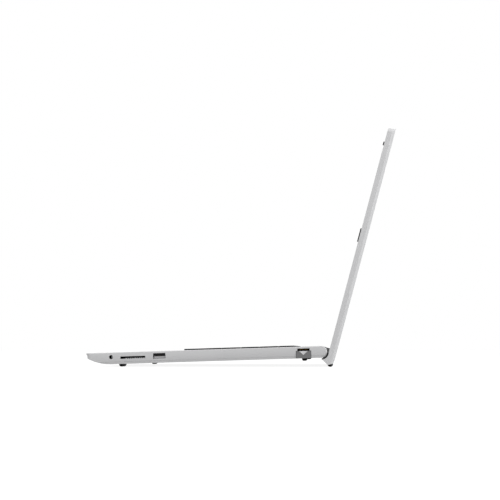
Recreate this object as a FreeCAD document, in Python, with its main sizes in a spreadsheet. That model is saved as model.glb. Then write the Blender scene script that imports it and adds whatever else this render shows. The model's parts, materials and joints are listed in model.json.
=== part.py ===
import FreeCAD, Part
import math
import os
import Sketcher

# Driving sizes in millimetres, and angles in degrees. Every other size is worked out from these.
SIZES = {
    # Outline of the base, in a frame on the hinge axis: +Y to the rear, +Z up through the deck.
    "base_width": 361.0,
    "base_reach": 236.6,
    "base_thick": 11.8,
    "corner_radius": 5.0,
    "tuck_height": 8.9,
    "tuck_radius": 36.0,
    "deck_chamfer": 0.65,
    "lip_face": 0.7,
    "lip_depth": 2.5,
    "lip_overhang": 1.6,
    "toe_height": 6.4,
    "toe_setback": 1.8,
    "belly_run": 25.0,
    # Walls of the base.
    "deck_wall": 1.4,
    "side_wall": 1.8,
    "floor_wall": 1.3,
    "nose_wall": 1.5,
    "front_solid": 19.0,
    "seam_height": 2.3,
    "seam_gap": 0.1,
    "cut_margin": 1.0,
    # Hinge notches in the round rear edge.
    "hinge_inset": 30.5,
    "notch_width": 38.0,
    "notch_wall": 1.5,
    "notch_depth": 6.7,
    # Keyboard.
    "keyboard_setback": 26.0,
    "palm_rest": 97.0,
    "keyboard_corner": 2.0,
    "keyboard_side": 8.3,
    "pad_pitch": 16.8,
    "function_pitch": 16.4,
    "opening_margin": 0.6,
    "key_gap": 2.0,
    "key_corner": 1.5,
    "key_edge": 0.3,
    "key_rise": 1.3,
    "key_height": 2.3,
    "key_skin": 1.0,
    "key_wall": 0.9,
    "key_clearance": 0.4,
    "web_sink": 0.4,
    "web_gap": 0.15,
    "web_ledge": 1.0,
    "tray_rim": 4.0,
    "tray_sheet": 0.6,
    "key_well": 2.9,
    "dome_base_radius": 2.6,
    "dome_top_radius": 1.6,
    "dome_height": 1.3,
    # Touchpad.
    "touchpad_width": 105.0,
    "touchpad_depth": 60.0,
    "touchpad_front": 25.5,
    "touchpad_corner": 3.0,
    "touchpad_thick": 1.6,
    "touchpad_sink": 0.15,
    "touchpad_gap": 0.3,
    "touchpad_room": 0.5,
    "bracket_rim": 3.0,
    "bracket_ledge": 1.5,
    "bracket_sheet": 0.8,
    # Feet under the base.
    "foot_width": 16.0,
    "foot_height": 2.7,
    "foot_recess": 0.4,
    "front_foot_inset": 30.5,
    "front_foot_place": 33.6,
    "front_foot_depth": 5.6,
    "rear_foot_inset": 36.5,
    "rear_foot_y": 17.4,
    "rear_foot_depth": 5.2,
    "foot_round": 2.2,
    "rear_foot_round": 1.76,
    # Case screws and their bosses.
    "boss_radius": 3.0,
    "screw_front": 23.0,
    "front_screw_inset": 33.5,
    "front_screw_gap": 7.9,
    "middle_screw_inset": 12.5,
    "rear_screw_y": 10.0,
    "rear_screw_gap": 7.0,
    "screw_room": 0.5,
    "case_screw_radius": 1.2,
    "case_screw_length": 7.5,
    "case_head_radius": 2.5,
    "case_head_height": 0.7,
    "screw_clearance": 0.05,
    "head_clearance": 0.2,
    # Small screws inside.
    "small_screw_radius": 0.8,
    "small_head_radius": 2.0,
    "small_head_height": 0.9,
    "small_screw_grip": 2.0,
    # Ports on the right wall: places along the wall from the front edge, heights from the hinge axis.
    "audio_place": 25.6,
    "audio_z": 1.3,
    "audio_hole_radius": 2.0,
    "audio_bore_radius": 1.8,
    "audio_depth": 12.0,
    "audio_bore_depth": 11.0,
    "audio_body": 6.0,
    "card_place": 47.6,
    "card_z": 0.4,
    "card_width": 25.2,
    "card_height": 2.4,
    "card_mouth": 1.4,
    "card_notch": 4.0,
    "card_depth": 26.0,
    "card_body_width": 28.0,
    "card_body_height": 4.1,
    "right_usb_place": 74.3,
    "right_usb_z": 1.1,
    "usb_width": 12.5,
    "usb_height": 5.3,
    "usb_shell": 0.3,
    "usb_depth": 14.0,
    "usb_back": 2.0,
    "tongue_margin": 0.7,
    "tongue_thick": 1.9,
    "tongue_setback": 1.2,
    "io_board_depth": 28.0,
    "io_board_thick": 1.0,
    "io_board_margin": 0.5,
    # Network jack with its drop jaw, by its place from the hinge axis.
    "network_y": 17.75,
    "network_mouth_width": 12.4,
    "network_mouth_top": 3.9,
    "network_depth": 18.0,
    "network_wall": 2.4,
    "jaw_width": 14.7,
    "jaw_top": 1.4,
    "jaw_tray": 1.2,
    "jaw_gap": 0.3,
    "jaw_reach": 14.6,
    "jaw_pivot_height": 2.9,
    "jaw_barrel_radius": 1.9,
    "jaw_pin_radius": 1.0,
    "jaw_pin_length": 1.8,
    "jaw_notch_width": 9.0,
    "jaw_notch_height": 4.2,
    "jaw_notch_depth": 0.8,
    "jack_floor": 1.5,
    "pin_fit": 0.05,
    "contact_width": 0.5,
    "contact_pitch": 1.02,
    "contact_drop": 0.8,
    # Ports on the left wall, by their places from the hinge axis.
    "left_port_z": -0.6,
    "inlet_y": 18.0,
    "inlet_body": 7.0,
    "inlet_depth": 13.0,
    "inlet_radius": 2.4,
    "inlet_pin_radius": 0.5,
    "hdmi_y": 48.0,
    "hdmi_width": 14.2,
    "hdmi_height": 4.6,
    "left_usb_y": 76.0,
    "usb_c_y": 100.0,
    "usb_c_width": 8.4,
    "usb_c_height": 2.6,
    "usb_c_depth": 9.0,
    "usb_c_tongue": 0.7,
    "port_shell": 0.5,
    # Motherboard and what it carries.
    "standoff_radius": 2.2,
    "standoff_height": 0.5,
    "board_thick": 1.0,
    "board_front_gap": 1.4,
    "board_back": 30.0,
    "board_right_back": 45.0,
    "board_left_inset": 20.5,
    "board_right_inset": 22.5,
    "fan_side_gap": 6.0,
    "board_screw_inset": 9.0,
    "processor_x": 60.0,
    "processor_y": 80.0,
    "processor_width": 30.0,
    "processor_depth": 24.0,
    "processor_thick": 1.0,
    "spreader_margin": 4.0,
    "spreader_thick": 1.2,
    "pipe_width": 7.0,
    "pipe_thick": 1.8,
    "pipe_rear": 14.0,
    "pipe_corner": 6.0,
    "memory_inset": 2.4,
    "memory_place": 34.2,
    "memory_width": 69.6,
    "memory_depth": 30.0,
    "memory_thick": 1.2,
    "memory_socket_depth": 7.0,
    "memory_socket_height": 4.0,
    "memory_insert": 4.0,
    "drive_inset": 15.0,
    "drive_place": 28.2,
    "drive_length": 80.0,
    "wireless_inset": 21.0,
    "wireless_y": 50.0,
    "wireless_length": 30.0,
    "card_board_width": 22.0,
    "card_board_thick": 0.8,
    "card_chip_thick": 1.2,
    "card_chip_margin": 2.5,
    "socket_length": 7.0,
    "socket_height": 3.0,
    "socket_insert": 3.0,
    "slot_clearance": 0.05,
    # Fan and fins.
    "fan_x": 0.0,
    "fan_width": 60.0,
    "fan_depth": 59.0,
    "fan_height": 5.0,
    "fan_sheet": 0.5,
    "fan_back": 23.0,
    "fan_chamber_radius": 27.0,
    "fan_intake_radius": 17.0,
    "rotor_radius": 25.0,
    "rotor_gap": 0.5,
    "hub_radius": 11.0,
    "blade_root": 1.1,
    "blade_thick": 0.6,
    "axle_radius": 1.2,
    "axle_fit": 0.05,
    "spoke_width": 4.0,
    "fin_sheet": 0.5,
    "fin_step": 2.8,
    "fin_depth": 13.5,
    # Vents in the bottom cover and in the rear edge.
    "vent_width": 2.4,
    "vent_step": 5.0,
    "vent_length": 40.0,
    "exhaust_height": 4.4,
    "exhaust_width": 3.6,
    "speaker_slot_length": 12.0,
    # Battery and speakers.
    "battery_inset": 78.5,
    "battery_depth": 54.0,
    "battery_height": 5.2,
    "battery_place": 33.6,
    "battery_corner": 4.0,
    "speaker_width": 36.0,
    "speaker_depth": 38.0,
    "speaker_height": 5.0,
    "speaker_gap": 7.0,
    "speaker_corner": 3.0,
    # Friction hinges.
    "shaft_radius": 2.0,
    "shaft_fit": 0.05,
    "shaft_hole_radius": 2.6,
    "barrel_radius": 3.7,
    "barrel_length": 23.0,
    "barrel_gap": 3.5,
    "bracket_width": 45.0,
    "bracket_thick": 1.5,
    "bracket_drop": 1.4,
    "bracket_front": 21.5,
    "bracket_back": 7.5,
    "bracket_screw_step": 15.0,
    "washer_thick": 0.8,
    "washer_radius": 3.4,
    "nut_height": 2.4,
    "nut_radius": 3.7,
    "washer_gap": 0.05,
    "thread_fit": 0.02,
    "shaft_end": 0.6,
    "hub_hinge_radius": 3.5,
    "hub_inset": 4.0,
    "hub_length": 25.0,
    "arm_width": 21.0,
    "arm_inset": 6.0,
    "arm_front": 1.4,
    "arm_thick": 1.6,
    "leaf_length": 50.0,
    "leaf_front": 19.0,
    "leaf_thick": 1.4,
    "leaf_boss_height": 1.5,
    "leaf_boss_radius": 2.4,
    "leaf_screw_step": 16.0,
    "hinge_cover_gap": 0.6,
    "hinge_cover_radius": 5.6,
    "hinge_cover_wall": 1.4,
    "hinge_cover_back": 0.8,
    "neck_slot_margin": 1.0,
    # Lid.
    "lid_open": 106.8,
    "lid_gap": 1.4,
    "lid_thick": 7.7,
    "lid_step": 2.7,
    "lid_slant": 1.6,
    "lid_wall": 1.6,
    "lid_skin": 1.5,
    "edge_band": 2.8,
    "edge_bevel": 0.8,
    "cradle_gap": 1.1,
    "cradle_strip_thick": 0.5,
    "cradle_strip_proud": 0.2,
    "cradle_strip_inset": 0.3,
    "tail_root": 1.0,
    "tail_low": 2.6,
    "tail_tip": 0.5,
    "tail_tip_rise": 3.0,
    "heel_reach": 4.0,
    "heel_rise": 2.1,
    "lid_foot_back": 1.3,
    "lid_foot_drop": 0.7,
    "lid_foot_bulge": 2.55,
    "lid_foot_inset": 4.0,
    "tail_bend": 2.8,
    # Display.
    "bezel_thick": 0.9,
    "bezel_gap": 0.1,
    "screen_border": 8.5,
    "screen_bottom": 30.1,
    "screen_top": 9.8,
    "screen_corner": 0.8,
    "panel_side": 3.0,
    "panel_top": 3.4,
    "panel_bottom": 8.8,
    "panel_thick": 2.8,
    "camera_width": 36.0,
    "camera_depth": 4.0,
    "camera_thick": 3.0,
    "camera_lens_radius": 1.9,
    "camera_lens_height": 1.2,
    "camera_hole_radius": 1.5,
    "camera_gap": 0.3,
    "bumper_height": 1.1,
    "bumper_inset": 4.9,
    "bumper_width": 2.6,
    "bumper_radius": 1.85,
    "strip_low": 115.9,
    "strip_length": 14.0,
    "button_inset": 15.5,
    "cable_width": 7.0,
    "cable_thick": 0.4,
    "cable_start": 60.0,
    "cable_overlap": 2.0,
    "cable_drop": 6.0,
}

# Key widths in units of the key pitch, left to right, for the rows from the front to the back.
KEY_ROWS = {
    "control_keys": (1.25, 1, 1, 1.25, 5.5, 1, 1, 1, 1, 1),
    "lower_letter_keys": (2.25, 1, 1, 1, 1, 1, 1, 1, 1, 1, 1, 2.75),
    "home_letter_keys": (1.75, 1, 1, 1, 1, 1, 1, 1, 1, 1, 1, 1, 2.25),
    "upper_letter_keys": (1.5, 1, 1, 1, 1, 1, 1, 1, 1, 1, 1, 1, 1, 1.5),
    "number_keys": (1, 1, 1, 1, 1, 1, 1, 1, 1, 1, 1, 1, 1, 2),
    "function_keys": (1, 1, 1, 1, 1, 1, 1, 1, 1, 1, 1, 1, 1, 1, 1),
}
MAIN_UNITS = 15
LETTER_ROWS = 5
PAD_COLUMNS = 4
SPACE_PLACE = 4
SPLIT_PLACE = 8
BLADE_COUNT = 29
# Levels closer than this, in millimetres, are one level.
NEAR = 1e-6
# The share of a slot's height that makes its ends almost full rounds.
ROUND_END = 0.49
# The tilt is looked for between these angles, halving the stretch at each step.
TILT_LIMITS = (-10.0, 20.0)
TILT_STEPS = 60
FIN_COUNT = 20
INTAKE_SLOTS = 8
EXHAUST_SLOTS = 10
SPEAKER_SLOTS = 5
CONTACT_COUNT = 8
BRACKET_SCREWS = 3
HEX_SIDES = 6
SIDES = (-1, 1)
RIGHT = 1
LEFT = -1


class Dim:
    """A size: its value in millimetres and the sheet formula that gives it."""

    def __init__(self, value, text):
        self.value = float(value)
        self.text = text

    def __add__(self, other):
        other = as_dim(other)
        return Dim(self.value + other.value, f"({self.text} + {other.text})")

    def __sub__(self, other):
        other = as_dim(other)
        return Dim(self.value - other.value, f"({self.text} - {other.text})")

    def __mul__(self, other):
        other = as_dim(other)
        return Dim(self.value * other.value, f"({self.text} * {other.text})")

    def __truediv__(self, other):
        other = as_dim(other)
        return Dim(self.value / other.value, f"({self.text} / {other.text})")

    def __neg__(self):
        return Dim(-self.value, f"(-1 * {self.text})")


def as_dim(number):
    """A plain count or factor as a size."""
    if isinstance(number, Dim):
        return number
    return Dim(number, f"({number})")


def root(size):
    return Dim(math.sqrt(size.value), f"sqrt({size.text})")


class Sheet:
    """The sizes of the sheet, read by name."""


def fill_sheet(document):
    table = document.addObject("Spreadsheet::Sheet", "Sizes")
    sizes = Sheet()
    for row, (name, value) in enumerate(SIZES.items(), start=1):
        table.set(f"A{row}", name)
        table.set(f"B{row}", str(value))
        table.setAlias(f"B{row}", name)
        setattr(sizes, name, Dim(value, f"Sizes.{name}"))
    document.recompute()
    return sizes


doc = FreeCAD.newDocument("laptop")
S = fill_sheet(doc)

# Levels and places that many pieces share.
zero = as_dim(0)
half = S.base_width / 2
deck = S.base_thick / 2
floor = -deck
ceiling = deck - S.deck_wall
inside_floor = floor + S.floor_wall
seam = floor + S.seam_height
front = -S.base_reach
cavity_front = front + S.front_solid
inside_x = half - S.side_wall
nose_cavity = deck - S.nose_wall
notch_out = half - S.hinge_inset
notch_in = notch_out - S.notch_width
notch_front = -S.notch_depth
keyboard_back = -S.keyboard_setback
keyboard_front = front + S.palm_rest
letter_rows = keyboard_back - keyboard_front - S.function_pitch - S.opening_margin * 2
key_pitch_y = letter_rows / LETTER_ROWS
keyboard_half = half - S.keyboard_side
key_pitch_x = (keyboard_half * 2 - S.opening_margin * 2 - S.pad_pitch * PAD_COLUMNS) / MAIN_UNITS
keys_left = -keyboard_half + S.opening_margin
tray_front = keyboard_front - S.tray_rim
tray_top = deck - S.key_well
tray_bottom = tray_top - S.tray_sheet
board_top = tray_bottom - S.standoff_height
board_bottom = board_top - S.board_thick
board_left = -half + S.board_left_inset
board_right = half - S.board_right_inset
memory_x = board_right - S.memory_inset - S.memory_width
board_near = keyboard_front + S.board_front_gap
memory_y = -board_near - S.memory_place
drive_y = -board_near - S.drive_place
battery_width = S.base_width - S.battery_inset * 2
battery_back = S.base_reach - S.battery_place - S.battery_depth
front_foot_x = half - S.front_foot_inset
front_foot_y = S.base_reach - S.front_foot_place
rear_foot_x = half - S.rear_foot_inset
audio_y = S.base_reach - S.audio_place
card_y = S.base_reach - S.card_place
right_usb_y = S.base_reach - S.right_usb_place
touchpad_x = keys_left + key_pitch_x * MAIN_UNITS / 2
touchpad_front = front + S.touchpad_front
touchpad_back = touchpad_front + S.touchpad_depth
touchpad_top = deck - S.touchpad_sink
touchpad_bottom = touchpad_top - S.touchpad_thick
inner = deck + S.lid_gap
outer = inner + S.lid_thick
lid_inside = outer - S.lid_skin
lid_edge = front + S.lid_step
lid_tip = lid_edge - S.lid_slant
cradle = deck + S.cradle_gap
bezel_back = inner + S.bezel_thick
screen_front = lid_edge + S.screen_top
screen_back = -S.screen_bottom
panel_front = screen_front - S.panel_top
panel_back = screen_back + S.panel_bottom
screen_width = S.base_width - S.screen_border * 2
panel_half = screen_width / 2 + S.panel_side
leaf_top = lid_inside - S.leaf_boss_height
leaf_bottom = leaf_top - S.leaf_thick
jaw_pivot_x = half - S.jaw_reach - S.side_wall
jaw_pivot_z = floor + S.jaw_pivot_height
jaw_y = -S.network_y

PIECES = []


def bind(thing, name, size):
    thing.setExpression(name, as_dim(size).text)


def box(name, x, y, z):
    """A block between two places along each axis."""
    block = doc.addObject("Part::Box", name)
    for length, axis, (low, high) in zip(("Length", "Width", "Height"), "xyz", (x, y, z)):
        bind(block, length, as_dim(high) - low)
        bind(block, f"Placement.Base.{axis}", low)
    return block


def span(middle, width):
    """The two places at half a width on each side of a middle."""
    middle = as_dim(middle)
    return (middle - as_dim(width) / 2, middle + as_dim(width) / 2)


def sided(side, low, high):
    """A stretch of X on the right, or its mirror on the left."""
    if side == RIGHT:
        return (as_dim(low), as_dim(high))
    return (-as_dim(high), -as_dim(low))


AXIS_TURN = {
    "x": FreeCAD.Rotation(FreeCAD.Vector(0, 1, 0), 90),
    "y": FreeCAD.Rotation(FreeCAD.Vector(1, 0, 0), -90),
    "z": FreeCAD.Rotation(),
}
CROSS_AXES = {"x": "yz", "y": "xz", "z": "xy"}


def stand(thing, axis, start, places):
    """Puts a round piece along an axis, from its start, at two places across it."""
    thing.Placement = FreeCAD.Placement(FreeCAD.Vector(), AXIS_TURN[axis])
    bind(thing, f"Placement.Base.{axis}", start)
    for cross, place in zip(CROSS_AXES[axis], places):
        bind(thing, f"Placement.Base.{cross}", place)
    return thing


def rod(name, axis, stretch, places, radius):
    cylinder = doc.addObject("Part::Cylinder", name)
    bind(cylinder, "Radius", radius)
    bind(cylinder, "Height", as_dim(stretch[1]) - stretch[0])
    return stand(cylinder, axis, stretch[0], places)


def hexagon(name, axis, stretch, places, radius):
    prism = doc.addObject("Part::Prism", name)
    prism.Polygon = HEX_SIDES
    bind(prism, "Circumradius", radius)
    bind(prism, "Height", as_dim(stretch[1]) - stretch[0])
    return stand(prism, axis, stretch[0], places)


def fuse(name, *things):
    union = doc.addObject("Part::MultiFuse", name)
    union.Shapes = list(things)
    return union


def together(name, *things):
    """Separate solids that share one node."""
    group = doc.addObject("Part::Compound", name)
    group.Links = list(things)
    return group


def cut(name, base, *tools):
    result = doc.addObject("Part::Cut", name)
    result.Base = base
    result.Tool = tools[0] if len(tools) == 1 else fuse(name + "_tool", *tools)
    return result


def common(name, base, tool):
    result = doc.addObject("Part::Common", name)
    result.Base = base
    result.Tool = tool
    return result


def edges_along(shape, axis):
    """Numbers of the straight edges that run along an axis."""
    found = []
    for number, edge in enumerate(shape.Edges, start=1):
        step = edge.Vertexes[-1].Point - edge.Vertexes[0].Point
        step.normalize()
        if abs(abs(step.dot(axis)) - 1) < NEAR:
            found.append(number)
    return found


AXES = {
    "x": FreeCAD.Vector(1, 0, 0),
    "y": FreeCAD.Vector(0, 1, 0),
    "z": FreeCAD.Vector(0, 0, 1),
}


def rounded(name, x, y, z, radius, axis="z", keep=None):
    """A block with the edges along one axis rounded; keep picks edges by their middle point."""
    block = box(name + "_block", x, y, z)
    doc.recompute()
    numbers = edges_along(block.Shape, AXES[axis])
    if keep:
        numbers = [n for n in numbers if keep(block.Shape.Edges[n - 1].CenterOfMass)]
    round_block = doc.addObject("Part::Fillet", name)
    round_block.Base = block
    round_block.Edges = [(number, radius.value, radius.value) for number in numbers]
    return round_block


def origin_plane(body, role):
    return [plane for plane in body.Origin.OriginFeatures if plane.Role == role][0]


def arc_between(start, end, radius, turn):
    """The shorter arc between two points; turn is 1 for counterclockwise and -1 for clockwise."""
    chord = end - start
    middle = start + chord * 0.5
    left = FreeCAD.Vector(-chord.y, chord.x, 0).normalize()
    rise = math.sqrt(max(radius ** 2 - (chord.Length / 2) ** 2, 0))
    center = middle + left * rise * turn
    first, last = (start, end) if turn == 1 else (end, start)
    first_angle = math.atan2(first.y - center.y, first.x - center.x)
    last_angle = math.atan2(last.y - center.y, last.x - center.x)
    circle = Part.Circle(center, FreeCAD.Vector(0, 0, 1), radius)
    return Part.ArcOfCircle(circle, first_angle, last_angle)


def draw_outline(sketch, corners):
    """A closed outline. A corner is (across, up), or (across, up, radius, turn) where an arc starts."""
    points = [FreeCAD.Vector(corner[0].value, corner[1].value, 0) for corner in corners]
    ends = []
    for index, corner in enumerate(corners):
        start = points[index]
        end = points[(index + 1) % len(points)]
        if len(corner) == 2:
            line = sketch.addGeometry(Part.LineSegment(start, end), False)
            ends.append((line, 1, 2))
            continue
        radius, turn = corner[2:]
        arc = sketch.addGeometry(arc_between(start, end, radius.value, turn), False)
        ends.append((arc, 1, 2) if turn == 1 else (arc, 2, 1))
        limit = sketch.addConstraint(Sketcher.Constraint("Radius", arc, radius.value))
        bind(sketch, f"Constraints[{limit}]", radius)
    for index, (edge, first, last) in enumerate(ends):
        following, following_first, _ = ends[(index + 1) % len(ends)]
        sketch.addConstraint(Sketcher.Constraint("Coincident", edge, last, following, following_first))
    for (edge, first, _), corner in zip(ends, corners):
        for kind, place in (("DistanceX", corner[0]), ("DistanceY", corner[1])):
            limit = sketch.addConstraint(Sketcher.Constraint(kind, -1, 1, edge, first, place.value))
            bind(sketch, f"Constraints[{limit}]", place)


def new_sketch(body, role, name, level=None):
    sketch = body.newObject("Sketcher::SketchObject", name)
    sketch.AttachmentSupport = [(origin_plane(body, role), "")]
    sketch.MapMode = "FlatFace"
    if level is not None:
        bind(sketch, "AttachmentOffset.Base.z", level)
    return sketch


def padded(name, role, corners, low, high):
    """A body padded from an outline on an origin plane, between two levels along its normal."""
    body = doc.addObject("PartDesign::Body", name)
    sketch = new_sketch(body, role, name + "_outline", low)
    draw_outline(sketch, corners)
    pad = body.newObject("PartDesign::Pad", name + "_pad")
    pad.Profile = sketch
    bind(pad, "Length", as_dim(high) - low)
    body.Tip = pad
    return body


def corner_cuts(reach):
    """Outlines of what the two rounded front corners take off a square plate."""
    radius = S.corner_radius
    for side in SIDES:
        edge = half * side
        beyond = (half + S.cut_margin) * side
        inboard = (half - radius) * side
        yield [
            (edge, reach + radius),
            (beyond, reach + radius),
            (beyond, reach - S.cut_margin),
            (inboard, reach - S.cut_margin),
            (inboard, reach, radius, side),
        ]


def shell_form(name, corners, reach):
    """A profile padded across the width, with its front corners rounded in plan."""
    body = padded(name, "YZ_Plane", corners, -half, half)
    doc.recompute()
    for number, outline in enumerate(corner_cuts(reach)):
        sketch = new_sketch(body, "XY_Plane", f"{name}_corner_{number}")
        draw_outline(sketch, outline)
        pocket = body.newObject("PartDesign::Pocket", f"{name}_corner_cut_{number}")
        pocket.Profile = sketch
        pocket.Type = "ThroughAll"
        pocket.Midplane = True
        body.Tip = pocket
        doc.recompute()
    return body


def piece(label, thing, place):
    """Names a finished sub-part and notes which of the two halves it belongs to."""
    if thing.TypeId == "Part::Box":
        thing = together(label + "_whole", thing)
    thing.Label = label
    PIECES.append((label, thing, place))
    return thing


# The base: one outer form, split at the seam into the top case and the bottom cover.


def base_form():
    toe_y = front + S.toe_setback
    toe_z = floor + S.toe_height
    belly_y = front + S.belly_run
    run = belly_y - toe_y
    belly_radius = (run * run + S.toe_height * S.toe_height) / (S.toe_height * 2)
    corners = [
        (zero, deck),
        (front, deck),
        (front, deck - S.lip_face),
        (front + S.lip_overhang, deck - S.lip_depth),
        (toe_y, toe_z, belly_radius, 1),
        (belly_y, floor),
        (zero, floor),
    ]
    body = shell_form("base_slab", corners, front)
    chamfer_deck(body)
    return common("base_form", fuse("base_square", body, round_nose()), tucked_section())


def tucked_section():
    """A section along the base whose sides draw in towards the floor in a slow curve."""
    low = floor - S.cut_margin
    high = deck + S.cut_margin
    bend = floor + S.tuck_height
    radius = S.tuck_radius
    drop = bend - low
    low_half = half - radius + root(radius * radius - drop * drop)
    corners = [
        (-low_half, low),
        (low_half, low, radius, 1),
        (half, bend),
        (half, high),
        (-half, high),
        (-half, bend, radius, 1),
    ]
    return padded("base_section", "XZ_Plane", corners, -high, -front + S.cut_margin)


def round_nose():
    """The round rear edge, broken at both ends like the deck's edge."""
    bar = rod("nose_bar", "x", (-half, half), (zero, zero), deck)
    doc.recompute()
    rims = []
    for number, edge in enumerate(bar.Shape.Edges, start=1):
        if isinstance(edge.Curve, Part.Circle):
            rims.append((number, S.deck_chamfer.value, S.deck_chamfer.value))
    nose = doc.addObject("Part::Chamfer", "nose")
    nose.Base = bar
    nose.Edges = rims
    return nose


def chamfer_deck(body):
    """Breaks the edge round the deck, from the front lip back along both sides."""
    top = deck.value
    names = []
    for number, edge in enumerate(body.Shape.Edges, start=1):
        heights = [abs(vertex.Point.z - top) < NEAR for vertex in edge.Vertexes]
        behind = all(abs(vertex.Point.y) < NEAR for vertex in edge.Vertexes)
        if all(heights) and not behind:
            names.append(f"Edge{number}")
    slab = body.Tip
    chamfer = body.newObject("PartDesign::Chamfer", "deck_chamfer")
    chamfer.Base = (slab, names)
    bind(chamfer, "Size", S.deck_chamfer)
    body.Tip = chamfer
    doc.recompute()


def cavity(name, low):
    """The hollow of the base above a level, with ribs left beside the hinge notches."""
    notch_rib = notch_front - S.notch_wall
    between = notch_in - S.notch_wall
    beside = notch_out + S.notch_wall
    height = (low, ceiling)
    hollows = [box(name + "_main", (-inside_x, inside_x), (cavity_front, notch_rib), height)]
    stretches = [(-between, between), sided(LEFT, beside, inside_x), sided(RIGHT, beside, inside_x)]
    for number, stretch in enumerate(stretches):
        hollows.append(box(f"{name}_rear_{number}", stretch, (notch_rib, zero), height))
        tunnel = rod(f"{name}_nose_{number}", "x", stretch, (zero, zero), nose_cavity)
        slab = box(f"{name}_slab_{number}", stretch, (-nose_cavity, nose_cavity), height)
        hollows.append(common(f"{name}_tunnel_{number}", tunnel, slab))
    return hollows


def notches(name):
    """The two gaps in the rear edge that the hinge covers turn in."""
    cuts = []
    for side in SIDES:
        stretch = sided(side, notch_in, notch_out)
        depth = (notch_front, deck + S.cut_margin)
        cuts.append(box(f"{name}_notch", stretch, depth, (floor - S.cut_margin, deck + S.cut_margin)))
    return cuts


def screw_places():
    """Where the case screws stand, as (x, y)."""
    front_y = front + S.screw_front
    middle_y = tray_front - S.boss_radius - S.screw_room
    rear_outer = notch_out + S.notch_wall + S.boss_radius + S.screw_room
    rear_inner = bracket_end() - S.bracket_width - S.boss_radius - S.rear_screw_gap
    outer_x = half - S.front_screw_inset
    pad_edge = S.touchpad_width / 2 - touchpad_x
    inner_x = pad_edge + S.bracket_rim + S.boss_radius + S.front_screw_gap
    places = []
    for side in SIDES:
        places.append((outer_x * side, front_y))
        places.append((inner_x * side, front_y))
        places.append(((half - S.middle_screw_inset) * side, middle_y))
        places.append((rear_inner * side, -S.rear_screw_y))
        places.append((rear_outer * side, -S.rear_screw_y))
    return places


def wall_cut(name, side, y, z):
    """An opening through a side wall."""
    return box(name, sided(side, inside_x - S.jaw_gap, half + S.cut_margin), y, z)


def network_wall_cuts():
    mouth = span(jaw_y, S.network_mouth_width)
    jaw_room = span(jaw_y, S.jaw_width + S.jaw_gap * 2)
    top = S.jaw_top + S.jaw_gap
    return [
        wall_cut("network_mouth", RIGHT, mouth, (zero, S.network_mouth_top)),
        wall_cut("jaw_room", RIGHT, jaw_room, (floor - S.cut_margin, top)),
    ]


def port_cuts():
    """Openings through both side walls for the sockets behind them."""
    through = sided(RIGHT, inside_x - S.cut_margin, half + S.cut_margin)
    left_z = S.left_port_z
    inlet = sided(LEFT, inside_x - S.cut_margin, half + S.cut_margin)
    usb_c = rounded(
        "usb_c_hole",
        inlet,
        span(-S.usb_c_y, S.usb_c_width),
        span(left_z, S.usb_c_height),
        S.usb_c_height * ROUND_END,
        "x",
    )
    return [
        rod("audio_hole", "x", through, (-audio_y, S.audio_z), S.audio_hole_radius),
        wall_cut("card_hole", RIGHT, span(-card_y, S.card_width), span(S.card_z, S.card_height)),
        wall_cut("right_usb_hole", RIGHT, span(-right_usb_y, S.usb_width), span(S.right_usb_z, S.usb_height)),
        wall_cut("left_usb_hole", LEFT, span(-S.left_usb_y, S.usb_width), span(left_z, S.usb_height)),
        wall_cut("hdmi_hole", LEFT, span(-S.hdmi_y, S.hdmi_width), span(left_z, S.hdmi_height)),
        rod("inlet_hole", "x", inlet, (-S.inlet_y, left_z), S.inlet_radius + S.jaw_gap),
        usb_c,
    ]


def deck_openings():
    above = (ceiling - S.cut_margin, deck + S.cut_margin)
    keyboard = rounded(
        "keyboard_opening",
        (-keyboard_half, keyboard_half),
        (keyboard_front, keyboard_back),
        above,
        S.keyboard_corner,
    )
    touchpad = rounded(
        "touchpad_opening",
        span(touchpad_x, S.touchpad_width),
        (touchpad_front, touchpad_back),
        above,
        S.touchpad_corner,
    )
    return [keyboard, touchpad]


def exhaust_slots():
    """Upright slots through the round rear edge, behind the fins."""
    step = S.fin_step * FIN_COUNT / EXHAUST_SLOTS
    slots = []
    for number in range(EXHAUST_SLOTS):
        middle = S.fan_x + step * (number - (EXHAUST_SLOTS - 1) / 2)
        height = span(zero, S.exhaust_height)
        slots.append(box("exhaust", span(middle, S.exhaust_width), (zero, deck + S.cut_margin), height))
    return slots


def bracket_places(side):
    """Where one hinge bracket's screws stand, as (x, y)."""
    end = bracket_end()
    middle_y = -(S.bracket_front + S.bracket_back) / 2
    middle_x = end - S.bracket_width / 2
    places = []
    for number in range(BRACKET_SCREWS):
        x = middle_x + S.bracket_screw_step * (number - (BRACKET_SCREWS - 1) / 2)
        places.append((x * side, middle_y))
    return places


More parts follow.
